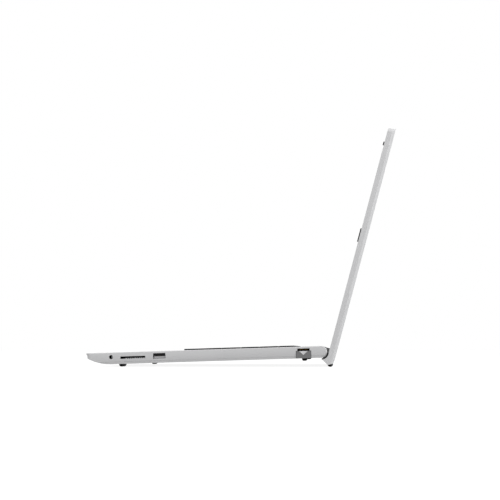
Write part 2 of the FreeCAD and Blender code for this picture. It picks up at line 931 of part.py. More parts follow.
def top_case(form):
    below = box(
        "below_seam",
        (-half - S.cut_margin, half + S.cut_margin),
        (front - S.cut_margin, deck + S.cut_margin),
        (floor - S.cut_margin, seam),
    )
    shaft_holes = []
    for side in SIDES:
        stretch = sided(side, notch_in - S.notch_wall - S.cut_margin, notch_in + S.cut_margin)
        shaft_holes.append(rod("shaft_hole", "x", stretch, (zero, zero), S.shaft_hole_radius))
    hollows = cavity("case_hollow", floor - S.cut_margin) + notches("case") + shaft_holes
    openings = port_cuts() + network_wall_cuts() + deck_openings() + exhaust_slots()
    shell = cut("case_shell", form, below, *hollows, *openings)
    bosses = []
    bores = []
    for x, y in screw_places():
        bosses.append(rod("case_boss", "z", (inside_floor, ceiling), (x, y), S.boss_radius))
        depth = (inside_floor - S.cut_margin, floor + S.case_screw_length + S.case_head_height)
        bores.append(rod("case_bore", "z", depth, (x, y), S.case_screw_radius + S.screw_clearance))
    for side in SIDES:
        for x, y in bracket_places(side):
            boss = (ceiling - S.bracket_drop, ceiling)
            bosses.append(rod("bracket_boss", "z", boss, (x, y), S.small_head_radius))
            bore = (ceiling - S.bracket_drop - S.cut_margin, ceiling - S.bracket_drop + S.small_screw_grip)
            bores.append(rod("bracket_bore", "z", bore, (x, y), S.small_screw_radius + S.screw_clearance))
    return cut("case_part", fuse("case_bossed", shell, *bosses), *bores)


def foot_spans():
    """The four feet as (x, y) spans, front pair first."""
    front_pair = []
    rear_pair = []
    for side in SIDES:
        x = span(front_foot_x * side, S.foot_width)
        front_pair.append((x, span(-front_foot_y, S.front_foot_depth)))
        x = span(rear_foot_x * side, S.foot_width)
        rear_pair.append((x, span(-S.rear_foot_y, S.rear_foot_depth)))
    return front_pair, rear_pair


def vent_slots():
    """Intake slots under the fan, and sound slots under the speakers."""
    through = (floor - S.cut_margin, inside_floor + S.cut_margin)
    fan_middle = -(S.fan_back + S.fan_depth / 2)
    slots = []
    for number in range(INTAKE_SLOTS):
        y = fan_middle + S.vent_step * (number - (INTAKE_SLOTS - 1) / 2)
        slots.append(box("intake", span(S.fan_x, S.vent_length), span(y, S.vent_width), through))
    speaker_y = -(battery_back + S.battery_depth) + S.speaker_depth / 2
    for side in SIDES:
        for number in range(SPEAKER_SLOTS):
            y = speaker_y + S.vent_step * (number - (SPEAKER_SLOTS - 1) / 2)
            x = span(speaker_middle() * side, S.speaker_slot_length)
            slots.append(box("sound_slot", x, span(y, S.vent_width), through))
    return slots


def bottom_cover(form):
    slab = box(
        "cover_slab",
        (-half - S.cut_margin, half + S.cut_margin),
        (front - S.cut_margin, deck + S.cut_margin),
        (floor - S.cut_margin, seam - S.seam_gap),
    )
    plate = common("cover_plate", form, slab)
    tools = cavity("cover_hollow", inside_floor) + notches("cover") + vent_slots()
    for pair in foot_spans():
        for x, y in pair:
            tools.append(box("foot_seat", x, y, (floor - S.cut_margin, floor + S.foot_recess)))
    for x, y in screw_places():
        head = (floor - S.cut_margin, floor + S.case_head_height)
        hole = (floor - S.cut_margin, inside_floor + S.cut_margin)
        tools.append(rod("head_hole", "z", head, (x, y), S.case_head_radius + S.head_clearance))
        tools.append(rod("screw_hole", "z", hole, (x, y), S.case_screw_radius + S.screw_clearance))
    jaw_room = span(jaw_y, S.jaw_width + S.jaw_gap * 2)
    jaw_x = (jaw_pivot_x - S.jaw_barrel_radius, half + S.cut_margin)
    tools.append(box("jaw_floor", jaw_x, jaw_room, (floor - S.cut_margin, ceiling)))
    return cut("cover_part", plate, *tools)


def feet(name, pair):
    """Rubber blocks seated in the cover, with their lower edges rounded."""
    bottom = floor - S.foot_height
    blocks = []
    for x, y in pair:
        low = bottom.value
        limit = S.foot_round if name == "front" else S.rear_foot_round
        block = rounded(
            f"{name}_foot",
            x,
            y,
            (bottom, floor + S.foot_recess),
            limit,
            "x",
            lambda point, low=low: abs(point.z - low) < NEAR,
        )
        blocks.append(block)
    return together(f"{name}_feet_group", *blocks)


def case_screws():
    screws = []
    for x, y in screw_places():
        head_top = floor + S.case_head_height
        head = rod("screw_head", "z", (floor, head_top), (x, y), S.case_head_radius)
        shank = rod("screw_shank", "z", (head_top, floor + S.case_screw_length), (x, y), S.case_screw_radius)
        screws.append(fuse("case_screw", head, shank))
    return together("case_screw_group", *screws)


# The keyboard: caps in rows, the web between them, the steel tray below and a dome under each cap.


def row_span(index):
    """Front and back of a row of key cells, counted from the front."""
    start = keyboard_front.value + S.opening_margin.value + index * key_pitch_y.value
    last = index == len(KEY_ROWS) - 1
    return start, start + (S.function_pitch.value if last else key_pitch_y.value)


def pad_cells(index, name, cells):
    """Cells of the number pad in one row."""
    low, high = row_span(index)
    start = keys_left.value + key_pitch_x.value * MAIN_UNITS
    column = [start + S.pad_pitch.value * step for step in range(PAD_COLUMNS + 1)]
    if index == 0:
        cells[name].append((column[0], column[2], low, high))
        cells[name].append((column[2], column[3], low, high))
        cells["numpad_enter_key"] = [(column[3], column[4], low, row_span(1)[1])]
        return
    last_in_row = "power_button" if index == len(KEY_ROWS) - 1 else name
    for step in range(PAD_COLUMNS - 1):
        cells[name].append((column[step], column[step + 1], low, high))
    if index > 1:
        cells.setdefault(last_in_row, []).append((column[3], column[4], low, high))


def key_cells():
    """Every key's cell as (left, right, front, back), grouped by node."""
    cells = {name: [] for name in KEY_ROWS}
    for index, (name, widths) in enumerate(KEY_ROWS.items()):
        low, high = row_span(index)
        left = keys_left.value
        for place, units in enumerate(widths):
            right = left + units * key_pitch_x.value
            middle = (low + high) / 2
            if index == 0 and place == SPACE_PLACE:
                cells["space_bar"] = [(left, right, low, high)]
            elif index == 0 and place == SPLIT_PLACE:
                cells[name].append((left, right, low, middle))
                cells[name].append((left, right, middle, high))
            else:
                cells[name].append((left, right, low, high))
            left = right
        pad_cells(index, name, cells)
    return cells


def cell_block(cell, inset, low, high, corner):
    """A block with rounded upright edges, inset from a key cell."""
    left, right, near, far = cell
    size = (right - left - 2 * inset, far - near - 2 * inset, high - low)
    block = Part.makeBox(*size, FreeCAD.Vector(left + inset, near + inset, low))
    upright = [block.Edges[number - 1] for number in edges_along(block, AXES["z"])]
    return block.makeFillet(corner, upright)


def key_cap(cell):
    """A hollow cap with a softened top edge."""
    top = (deck + S.key_rise).value
    low = top - S.key_height.value
    inset = S.key_gap.value / 2
    solid = cell_block(cell, inset, low, top, S.key_corner.value)
    rim = [edge for edge in solid.Edges if all(abs(v.Point.z - top) < NEAR for v in edge.Vertexes)]
    solid = solid.makeFillet(S.key_edge.value, rim)
    wall = inset + S.key_wall.value
    left, right, near, far = cell
    size = (right - left - 2 * wall, far - near - 2 * wall, S.key_height.value - S.key_skin.value)
    hollow = Part.makeBox(*size, FreeCAD.Vector(left + wall, near + wall, low))
    return solid.cut(hollow)


def shaped(name, shapes):
    """A node of separate solids that are worked out cell by cell."""
    feature = doc.addObject("Part::Feature", name)
    feature.Shape = Part.makeCompound(shapes)
    return feature


def key_dome(cell):
    left, right, near, far = cell
    foot = FreeCAD.Vector((left + right) / 2, (near + far) / 2, tray_top.value)
    return Part.makeCone(S.dome_base_radius.value, S.dome_top_radius.value, S.dome_height.value, foot)


def keyboard_web(cells):
    edge = S.web_gap
    plate = rounded(
        "web_plate",
        (-keyboard_half + edge, keyboard_half - edge),
        (keyboard_front + edge, keyboard_back - edge),
        (ceiling, deck - S.web_sink),
        S.keyboard_corner,
    )
    inset = S.key_gap.value / 2 - S.key_clearance.value
    corner = S.key_corner.value + S.key_clearance.value
    low = (ceiling - S.cut_margin).value
    high = (deck + S.cut_margin).value
    holes = [cell_block(cell, inset, low, high, corner) for group in cells.values() for cell in group]
    return cut("web_part", plate, shaped("web_holes", holes))


def standoff_places():
    """Where the tray's standoffs meet the board and the fan, as (x, y), with the board's first."""
    inset = S.board_screw_inset
    left = board_left + inset
    right = board_right - inset
    near = board_near + inset
    fan_y = -(S.fan_back + S.fan_depth) - S.fan_side_gap - inset
    board = [
        (left, near),
        (right, near),
        (left, -S.board_back - inset),
        (right, -S.board_right_back - inset),
        (S.fan_x - S.fan_width / 2 - S.fan_side_gap - inset, -S.board_back - inset),
        (S.fan_x, fan_y),
    ]
    fan_ear = S.fan_width / 2 - S.standoff_radius
    ear_y = -(S.fan_back + S.fan_depth) + S.standoff_radius
    fan = [(S.fan_x - fan_ear, ear_y), (S.fan_x + fan_ear, ear_y)]
    return board, fan


def tray(name, half_x, middle_x, y, rim, ledge, level, sheet):
    """A sheet below an opening of the deck, with a rim that carries it up to the deck."""
    x = (middle_x - half_x, middle_x + half_x)
    block = box(
        name + "_block",
        (x[0] - rim, x[1] + rim),
        (y[0] - rim, y[1] + rim),
        (level - sheet, ceiling),
    )
    room = box(
        name + "_room",
        (x[0] + ledge, x[1] - ledge),
        (y[0] + ledge, y[1] - ledge),
        (level, ceiling + S.cut_margin),
    )
    return cut(name, block, room)


def keyboard_plate():
    sheet = tray(
        "keyboard_tray",
        keyboard_half,
        zero,
        (keyboard_front, keyboard_back),
        S.tray_rim,
        S.web_ledge,
        tray_top,
        S.tray_sheet,
    )
    board, fan = standoff_places()
    posts = []
    bores = []
    for x, y in board + fan:
        posts.append(rod("standoff", "z", (board_top, tray_bottom), (x, y), S.standoff_radius))
    for x, y in board:
        bore = (board_top - S.cut_margin, tray_bottom + S.tray_sheet / 2)
        bores.append(rod("standoff_bore", "z", bore, (x, y), S.small_screw_radius + S.screw_clearance))
    jack_room = box(
        "tray_jack_room",
        (inside_x - S.network_depth - S.jaw_gap, half),
        (jaw_y - S.network_mouth_width / 2 - S.network_wall - S.jaw_gap, zero),
        (tray_bottom - S.cut_margin, ceiling + S.cut_margin),
    )
    return cut("keyboard_plate_part", fuse("keyboard_plate_posts", sheet, *posts), jack_room, *bores)


def touchpad():
    gap = S.touchpad_gap
    x = span(touchpad_x, S.touchpad_width - gap * 2)
    y = (touchpad_front + gap, touchpad_back - gap)
    return rounded("touchpad_part", x, y, (touchpad_bottom, touchpad_top), S.touchpad_corner - gap)


def touchpad_bracket():
    return tray(
        "touchpad_tray",
        S.touchpad_width / 2,
        touchpad_x,
        (touchpad_front, touchpad_back),
        S.bracket_rim,
        -S.bracket_ledge,
        touchpad_bottom - S.touchpad_room,
        S.bracket_sheet,
    )


# The board, its cards and its cooling.


def motherboard():
    near = board_near
    fan_left = S.fan_x - S.fan_width / 2 - S.fan_side_gap
    fan_right = S.fan_x + S.fan_width / 2 + S.fan_side_gap
    fan_front = -(S.fan_back + S.fan_depth) - S.fan_side_gap
    corners = [
        (board_left, near),
        (board_right, near),
        (board_right, -S.board_right_back),
        (fan_right, -S.board_right_back),
        (fan_right, fan_front),
        (fan_left, fan_front),
        (fan_left, -S.board_back),
        (board_left, -S.board_back),
    ]
    board = padded("board_outline", "XY_Plane", corners, board_bottom, board_top)
    holes = []
    for x, y in standoff_places()[0]:
        through = (board_bottom - S.cut_margin, board_top + S.cut_margin)
        holes.append(rod("board_hole", "z", through, (x, y), S.small_screw_radius + S.screw_clearance))
    return cut("board_part", board, *holes)


def small_screw(name, x, y, head_low, tip):
    """A screw that goes up, with its head at the bottom."""
    head_top = head_low + S.small_head_height
    head = rod(name + "_head", "z", (head_low, head_top), (x, y), S.small_head_radius)
    shank = rod(name + "_shank", "z", (head_top, tip), (x, y), S.small_screw_radius)
    return fuse(name, head, shank)


def board_screws():
    low = board_bottom - S.small_head_height
    screws = [small_screw("board_screw", x, y, low, tray_bottom) for x, y in standoff_places()[0]]
    return together("board_screw_group", *screws)


def processor():
    x = span(S.processor_x, S.processor_width)
    y = span(-S.processor_y, S.processor_depth)
    return box("processor_part", x, y, (board_bottom - S.processor_thick, board_bottom))


def spreader_levels():
    top = board_bottom - S.processor_thick
    return (top - S.spreader_thick, top)


def heat_spreader():
    x = span(S.processor_x, S.processor_width + S.spreader_margin * 2)
    y = span(-S.processor_y, S.processor_depth + S.spreader_margin * 2)
    return box("spreader_part", x, y, spreader_levels())


def pipe_levels():
    top = spreader_levels()[0]
    return (top - S.pipe_thick, top)


def heat_pipe():
    """A flat pipe from the spreader to the rear, then along the fins."""
    left = S.processor_x - S.pipe_width / 2
    right = S.processor_x + S.pipe_width / 2
    near = -S.processor_y - S.processor_depth / 2
    rear = -S.pipe_rear
    end = S.fan_x - S.fan_width / 2
    corners = [
        (left, near),
        (right, near),
        (right, rear - S.pipe_corner),
        (right - S.pipe_corner, rear),
        (end, rear),
        (end, rear - S.pipe_width),
        (left, rear - S.pipe_width),
    ]
    return padded("pipe_part", "XY_Plane", corners, *pipe_levels())


def fin_stack():
    """A sheet on the heat pipe with upright fins."""
    low = pipe_levels()[1]
    length = S.fin_step * (FIN_COUNT - 1) + S.fin_sheet
    y = (-S.fan_back, -S.fan_back + S.fin_depth)
    sheet = box("fin_base", span(S.fan_x, length), y, (low, low + S.fin_sheet))
    fins = []
    for number in range(FIN_COUNT):
        middle = S.fan_x + S.fin_step * (number - (FIN_COUNT - 1) / 2)
        fins.append(box("fin", span(middle, S.fin_sheet), y, (low, board_top)))
    return fuse("fin_part", sheet, *fins)


def fan_middle():
    return (S.fan_x, -(S.fan_back + S.fan_depth / 2))


def fan_levels():
    return (board_top - S.fan_height, board_top)


def fan_housing():
    """A flat blower case, open to the fins, with an intake above and below and an axle inside."""
    low, high = fan_levels()
    x, y = fan_middle()
    wide = span(S.fan_x, S.fan_width)
    block = box("fan_block", wide, (-S.fan_back - S.fan_depth, -S.fan_back), (low, high))
    chamber = (low + S.fan_sheet, high - S.fan_sheet)
    room = rod("fan_chamber", "z", chamber, (x, y), S.fan_chamber_radius)
    chamber_x = span(S.fan_x, S.fan_chamber_radius * 2)
    mouth = box("fan_mouth", chamber_x, (y, -S.fan_back + S.cut_margin), chamber)
    intake = rod("fan_intake", "z", (low - S.cut_margin, high + S.cut_margin), (x, y), S.fan_intake_radius)
    case = cut("fan_case", block, room, mouth, intake)
    spoke = box("fan_spoke", chamber_x, span(y, S.spoke_width), (low, low + S.fan_sheet))
    axle = rod("fan_axle", "z", (low, high - S.fan_sheet - S.rotor_gap), (x, y), S.axle_radius)
    return fuse("fan_housing_part", case, spoke, axle)


def fan_rotor():
    """A hub with a ring of straight blades, turning on the housing's axle."""
    low, high = fan_levels()
    x, y = fan_middle()
    start = low + S.fan_sheet + S.rotor_gap
    end = high - S.fan_sheet - S.rotor_gap
    body = doc.addObject("PartDesign::Body", "rotor")
    hub_sketch = new_sketch(body, "XY_Plane", "rotor_hub_outline", start)
    for radius in (S.hub_radius, S.axle_radius + S.axle_fit):
        circle = Part.Circle(FreeCAD.Vector(), FreeCAD.Vector(0, 0, 1), radius.value)
        ring = hub_sketch.addGeometry(circle, False)
        hub_sketch.addConstraint(Sketcher.Constraint("Coincident", ring, 3, -1, 1))
        limit = hub_sketch.addConstraint(Sketcher.Constraint("Radius", ring, radius.value))
        bind(hub_sketch, f"Constraints[{limit}]", radius)
    hub = body.newObject("PartDesign::Pad", "rotor_hub")
    hub.Profile = hub_sketch
    bind(hub, "Length", end - start)
    body.Tip = hub
    doc.recompute()
    blade_sketch = new_sketch(body, "XY_Plane", "rotor_blade_outline", start)
    root_x = S.hub_radius - S.blade_root
    thick = S.blade_thick / 2
    draw_outline(
        blade_sketch,
        [(root_x, -thick), (S.rotor_radius, -thick), (S.rotor_radius, thick), (root_x, thick)],
    )
    blade = body.newObject("PartDesign::Pad", "rotor_blade")
    blade.Profile = blade_sketch
    bind(blade, "Length", end - start)
    body.Tip = blade
    doc.recompute()
    ring = body.newObject("PartDesign::PolarPattern", "rotor_blades")
    ring.Originals = [blade]
    ring.Axis = (hub_sketch, ["N_Axis"])
    ring.Angle = 360
    ring.Occurrences = BLADE_COUNT
    body.Tip = ring
    doc.recompute()
    stand(body, "z", zero, (x, y))
    return together("rotor_part", body)


def memory_socket():
    x = span(memory_x + S.memory_width / 2, S.memory_width + S.side_wall * 2)
    y = (-memory_y, -memory_y + S.memory_socket_depth)
    block = box("memory_socket_block", x, y, (board_bottom - S.memory_socket_height, board_bottom))
    slot = card_slot_level(S.memory_socket_height, S.memory_thick)
    slot_x = (memory_x - S.slot_clearance, memory_x + S.memory_width + S.slot_clearance)
    gap = S.slot_clearance
    opening = box(
        "memory_slot",
        slot_x,
        (-memory_y - S.cut_margin, -memory_y + S.memory_insert),
        (slot[0] - gap, slot[1] + gap),
    )
    return cut("memory_socket_part", block, opening)


def card_slot_level(height, thick):
    """Levels of a card held halfway down a socket under the board."""
    return span(board_bottom - height / 2, thick)


def memory_module():
    level = card_slot_level(S.memory_socket_height, S.memory_thick)
    x = (memory_x, memory_x + S.memory_width)
    y = (-memory_y + S.memory_insert - S.memory_depth, -memory_y + S.memory_insert)
    return box("memory_part", x, y, level)


def card_socket_places():
    """The two card sockets' mouths as (x, y): cards leave them to the left."""
    drive = board_left + S.drive_inset + S.drive_length - S.socket_insert
    wireless = board_left + S.wireless_inset + S.wireless_length - S.socket_insert
    return [(drive, -drive_y), (wireless, -S.wireless_y)]


def card_sockets():
    sockets = []
    for x, y in card_socket_places():
        block = box(
            "card_socket_block",
            (x, x + S.socket_length),
            (y - S.card_board_width, y),
            (board_bottom - S.socket_height, board_bottom),
        )
        level = card_slot_level(S.socket_height, S.card_board_thick)
        gap = S.slot_clearance
        slot = box(
            "card_socket_slot",
            (x - S.cut_margin, x + S.socket_insert),
            (y - S.card_board_width - S.cut_margin, y + S.cut_margin),
            (level[0] - gap, level[1] + gap),
        )
        sockets.append(cut("card_socket", block, slot))
    return sockets


def plug_in_card(name, place, length):
    """A card in a socket, with its chips on the lower face."""
    x, y = place
    level = card_slot_level(S.socket_height, S.card_board_thick)
    end = x + S.socket_insert
    board = box(name + "_board", (end - length, end), (y - S.card_board_width, y), level)
    margin = S.card_chip_margin
    chips = box(
        name + "_chips",
        (end - length + margin, x - margin),
        (y - S.card_board_width + margin, y - margin),
        (level[0] - S.card_chip_thick, level[0]),
    )
    return fuse(name + "_part", board, chips)


def battery_pack():
    y = (-battery_back - S.battery_depth, -battery_back)
    height = (inside_floor, inside_floor + S.battery_height)
    return rounded("battery_part", span(zero, battery_width), y, height, S.battery_corner)


def speaker_middle():
    return battery_width / 2 + S.speaker_gap + S.speaker_width / 2


def speaker(side):
    y = (-battery_back - S.battery_depth, -battery_back - S.battery_depth + S.speaker_depth)
    x = span(speaker_middle() * side, S.speaker_width)
    height = (inside_floor, inside_floor + S.speaker_height)
    return rounded("speaker_part", x, y, height, S.speaker_corner)


# Sockets behind the side walls.


def socket_x(side, depth):
    return sided(side, inside_x - depth, inside_x)


def socket(name, side, y, z, width, height, shell, depth, tongue):
    """A shell with a back wall and a tongue that stands off the lower wall."""
    back = S.usb_back
    case = box(
        name + "_case",
        socket_x(side, depth),
        span(y, width + shell * 2),
        span(z, height + shell * 2),
    )
    room = box(
        name + "_room",
        sided(side, inside_x - depth + back, inside_x + S.cut_margin),
        span(y, width),
        span(z, height),
    )
    low = z - height / 2 + S.usb_shell
    blade = box(
        name + "_tongue",
        sided(side, inside_x - depth + back / 2, inside_x - S.tongue_setback),
        span(y, width - S.tongue_margin * 2),
        (low, low + tongue),
    )
    return fuse(name, cut(name + "_hollow", case, room), blade)


def right_usb_socket():
    return socket(
        "right_usb",
        RIGHT,
        -right_usb_y,
        S.right_usb_z,
        S.usb_width,
        S.usb_height,
        S.usb_shell,
        S.usb_depth,
        S.tongue_thick,
    )


def left_usb_socket():
    return socket(
        "left_usb",
        LEFT,
        -S.left_usb_y,
        S.left_port_z,
        S.usb_width,
        S.usb_height,
        S.usb_shell,
        S.usb_depth,
        S.tongue_thick,
    )


def hdmi_socket():
    return socket(
        "hdmi",
        LEFT,
        -S.hdmi_y,
        S.left_port_z,
        S.hdmi_width,
        S.hdmi_height,
        S.port_shell,
        S.usb_depth,
        S.tongue_thick,
    )


def usb_c_socket():
    depth = S.usb_c_depth
    shell = S.port_shell * 2
    case = box(
        "usb_c_case",
        socket_x(LEFT, depth),
        span(-S.usb_c_y, S.usb_c_width + shell),
        span(S.left_port_z, S.usb_c_height + shell),
    )
    room = rounded(
        "usb_c_room",
        sided(LEFT, inside_x - depth + S.usb_back, inside_x + S.cut_margin),
        span(-S.usb_c_y, S.usb_c_width),
        span(S.left_port_z, S.usb_c_height),
        S.usb_c_height * ROUND_END,
        "x",
    )
    blade = box(
        "usb_c_blade",
        sided(LEFT, inside_x - depth + S.usb_back / 2, inside_x - S.tongue_setback),
        span(-S.usb_c_y, S.usb_c_width - S.tongue_margin * 2),
        span(S.left_port_z, S.usb_c_tongue),
    )
    return fuse("usb_c_part", cut("usb_c_hollow", case, room), blade)


def power_inlet():
    body = box(
        "inlet_case",
        socket_x(LEFT, S.inlet_depth),
        span(-S.inlet_y, S.inlet_body),
        span(S.left_port_z, S.inlet_body),
    )
    middle = (-S.inlet_y, S.left_port_z)
    bore = sided(LEFT, inside_x - S.inlet_depth + S.usb_back, inside_x + S.cut_margin)
    hollow = cut("inlet_hollow", body, rod("inlet_bore", "x", bore, middle, S.inlet_radius))
    stretch = sided(LEFT, inside_x - S.inlet_depth + S.usb_back / 2, inside_x - S.tongue_setback)
    pin = rod("inlet_pin", "x", stretch, middle, S.inlet_pin_radius)
    return fuse("inlet_part", hollow, pin)


def io_board_top():
    return S.right_usb_z - S.usb_height / 2 - S.usb_shell


def io_board():
    """A small board that carries the audio jack, the card reader and a socket at the right wall."""
    margin = S.io_board_margin
    x = sided(RIGHT, inside_x - S.io_board_depth, inside_x - margin)
    rear = tray_front - S.boss_radius * 2 - S.screw_room * 3
    top = io_board_top()
    return box("io_board_part", x, (cavity_front + margin, rear), (top - S.io_board_thick, top))


def audio_jack():
    top = S.audio_z + S.audio_body / 2
    case_y = span(-audio_y, S.audio_body)
    body = box("audio_case", socket_x(RIGHT, S.audio_depth), case_y, (io_board_top(), top))
    stretch = sided(RIGHT, inside_x - S.audio_bore_depth, inside_x + S.cut_margin)
    bore = rod("audio_bore", "x", stretch, (-audio_y, S.audio_z), S.audio_bore_radius)
    return cut("audio_part", body, bore)


def card_reader():
    """A flat reader whose mouth is the upper part of the slot, deeper at the front end."""
    low = io_board_top()
    y = span(-card_y, S.card_body_width)
    case = box("reader_case", socket_x(RIGHT, S.card_depth), y, (low, low + S.card_body_height))
    slot_top = S.card_z + S.card_height / 2
    slot_low = S.card_z - S.card_height / 2
    slot_y = span(-card_y, S.card_width)
    stretch = sided(RIGHT, inside_x - S.card_depth + S.usb_back, inside_x + S.cut_margin)
    mouth = box("reader_mouth", stretch, slot_y, (slot_top - S.card_mouth, slot_top))
    notch = box("reader_notch", stretch, (slot_y[0], slot_y[0] + S.card_notch), (slot_low, slot_top))
    return cut("reader_part", case, mouth, notch)


def network_jack():
    """A channel under the deck, closed at its inner end and open below, with contact springs."""
    low = floor + S.jack_floor
    outer_y = span(jaw_y, S.network_mouth_width + S.network_wall * 2)
    back = inside_x - S.network_depth
    case = box("jack_case", (back, inside_x), outer_y, (low, ceiling))
    room = box(
        "jack_room",
        (back + S.side_wall / 2, inside_x + S.cut_margin),
        span(jaw_y, S.network_mouth_width),
        (low - S.cut_margin, S.network_mouth_top),
    )
    pin_y = span(jaw_y, S.network_mouth_width + (S.jaw_pin_length + S.jaw_gap) * 2)
    pin_hole = rod("jack_pin_hole", "y", pin_y, (jaw_pivot_x, jaw_pivot_z), S.jaw_pin_radius + S.pin_fit)
    hollow = cut("jack_hollow", case, room, pin_hole)
    springs = []
    for number in range(CONTACT_COUNT):
        y = jaw_y + S.contact_pitch * (number - (CONTACT_COUNT - 1) / 2)
        springs.append(
            box(
                "jack_contact",
                (back + S.side_wall / 2, inside_x - S.tongue_setback * 2),
                span(y, S.contact_width),
                (S.network_mouth_top - S.contact_drop, S.network_mouth_top),
            )
        )
    return fuse("jack_part", hollow, *springs)


def network_jaw():
    """A tray on a pivot with an upright lip, which has a sunk V that guides the plug's catch."""
    width = span(jaw_y, S.jaw_width)
    tray_box = box("jaw_tray", (jaw_pivot_x, half), width, (floor, floor + S.jaw_tray))
    lip = box("jaw_lip", (inside_x + S.jaw_gap, half), width, (floor, S.jaw_top))
    barrel_y = span(jaw_y, S.network_mouth_width - S.jaw_gap * 2)
    pivot = (jaw_pivot_x, jaw_pivot_z)
    barrel = rod("jaw_barrel", "y", barrel_y, pivot, S.jaw_barrel_radius)
    pin_y = span(jaw_y, S.network_mouth_width + S.jaw_pin_length * 2)
    pin = rod("jaw_pin", "y", pin_y, pivot, S.jaw_pin_radius)
    side = S.jaw_notch_width / 2
    notch = padded(
        "jaw_notch",
        "YZ_Plane",
        [
            (jaw_y, S.jaw_top - S.jaw_notch_height),
            (jaw_y + side, S.jaw_top),
            (jaw_y + side, S.jaw_top + S.cut_margin),
            (jaw_y - side, S.jaw_top + S.cut_margin),
            (jaw_y - side, S.jaw_top),
        ],
        half - S.jaw_notch_depth,
        half + S.cut_margin,
    )
    return cut("jaw_part", fuse("jaw_whole", tray_box, lip, barrel, pin), notch)


# The friction hinges.


def bracket_end():
    return notch_in - S.notch_wall - S.barrel_gap


def hinge_bracket(side):
    """A leaf screwed under the deck with a barrel that the lid's shaft turns in."""
    end = bracket_end()
    top = ceiling - S.bracket_drop
    leaf_z = (top - S.bracket_thick, top)
    leaf_x = sided(side, end - S.bracket_width, end)
    leaf = box("bracket_leaf", leaf_x, (-S.bracket_front, -S.bracket_back), leaf_z)
    stretch = sided(side, end - S.barrel_length, end)
    neck = box("bracket_neck", stretch, (-S.bracket_back, -S.shaft_radius), leaf_z)
    barrel = rod("bracket_barrel", "x", stretch, (zero, zero), S.barrel_radius)
    bore = rod("bracket_shaft_bore", "x", stretch, (zero, zero), S.shaft_radius + S.shaft_fit)
    tools = [bore]
    for x, y in bracket_places(side):
        hole = (leaf_z[0] - S.cut_margin, leaf_z[1] + S.cut_margin)
        tools.append(rod("bracket_hole", "z", hole, (x, y), S.small_screw_radius + S.screw_clearance))
    return cut("bracket_part", fuse("bracket_whole", leaf, neck, barrel), *tools)


def hinge_screws():
    screws = []
    top = ceiling - S.bracket_drop
    for side in SIDES:
        for x, y in bracket_places(side):
            low = top - S.bracket_thick - S.small_head_height
            screws.append(small_screw("hinge_screw", x, y, low, top + S.small_screw_grip - S.screw_room))
    return together("hinge_screw_group", *screws)


def nut_stack(side):
    """The places of washer and nut on the shaft's inner end, as stretches of X."""
    barrel_inner = bracket_end() - S.barrel_length
    washer = sided(side, barrel_inner - S.washer_gap - S.washer_thick, barrel_inner - S.washer_gap)
    nut_start = barrel_inner - S.washer_gap - S.washer_thick
    nut = sided(side, nut_start - S.nut_height, nut_start)
    return washer, nut


def hinge_nuts():
    bore_radius = S.shaft_radius + S.thread_fit
    solids = []
    for side in SIDES:
        washer, nut = nut_stack(side)
        disc = rod("washer", "x", washer, (zero, zero), S.washer_radius)
        solids.append(cut("washer_ring", disc, rod("washer_bore", "x", washer, (zero, zero), bore_radius)))
        block = hexagon("nut", "x", nut, (zero, zero), S.nut_radius)
        solids.append(cut("nut_ring", block, rod("nut_bore", "x", nut, (zero, zero), bore_radius)))
    return together("hinge_nut_group", *solids)


def leaf_places(side):
    """Where the lid leaf's screws stand, as (x, y)."""
    start = notch_in + S.arm_inset
    middle_y = -(S.leaf_front + S.arm_front) / 2
    places = []
    for number in range(BRACKET_SCREWS):
        x = start + S.leaf_length / 2 + S.leaf_screw_step * (number - (BRACKET_SCREWS - 1) / 2)
        places.append((x * side, middle_y))
    return places


def hinge_arm(side):
    """The lid's half: a shaft with a hub, an upright arm and a leaf screwed to the lid."""
    inner_end = bracket_end() - S.barrel_length - S.washer_gap - S.washer_thick - S.nut_height - S.shaft_end
    hub_start = notch_in + S.hub_inset
    hub_end = hub_start + S.hub_length
    shaft = rod("arm_shaft", "x", sided(side, inner_end, hub_end), (zero, zero), S.shaft_radius)
    hub = rod("arm_hub", "x", sided(side, hub_start, hub_end), (zero, zero), S.hub_hinge_radius)
    start = notch_in + S.arm_inset
    arm_y = (-S.arm_front - S.arm_thick, -S.arm_front)
    arm = box("arm_upright", sided(side, start, start + S.arm_width), arm_y, (zero, leaf_top))
    leaf_y = (-S.leaf_front, -S.arm_front)
    leaf = box("arm_leaf", sided(side, start, start + S.leaf_length), leaf_y, (leaf_bottom, leaf_top))
    holes = []
    for x, y in leaf_places(side):
        through = (leaf_bottom - S.cut_margin, leaf_top + S.cut_margin)
        holes.append(rod("leaf_hole", "z", through, (x, y), S.small_screw_radius + S.screw_clearance))
    return cut("arm_part", fuse("arm_whole", shaft, hub, arm, leaf), *holes)


def lid_screws():
    screws = []
    for side in SIDES:
        for x, y in leaf_places(side):
            low = leaf_bottom - S.small_head_height
            screws.append(small_screw("lid_screw", x, y, low, leaf_top + S.small_screw_grip - S.screw_room))
    return together("lid_screw_group", *screws)


def neck_slot(side, name, low, high):
    """The way up through a hinge cover and the bezel for the hinge's arm."""
    start = notch_in + S.arm_inset - S.neck_slot_margin
    stretch = sided(side, start, start + S.arm_width + S.neck_slot_margin * 2)
    y = (-S.arm_front - S.arm_thick - S.neck_slot_margin, -S.arm_front + S.neck_slot_margin)
    return box(name, stretch, y, (low, high))


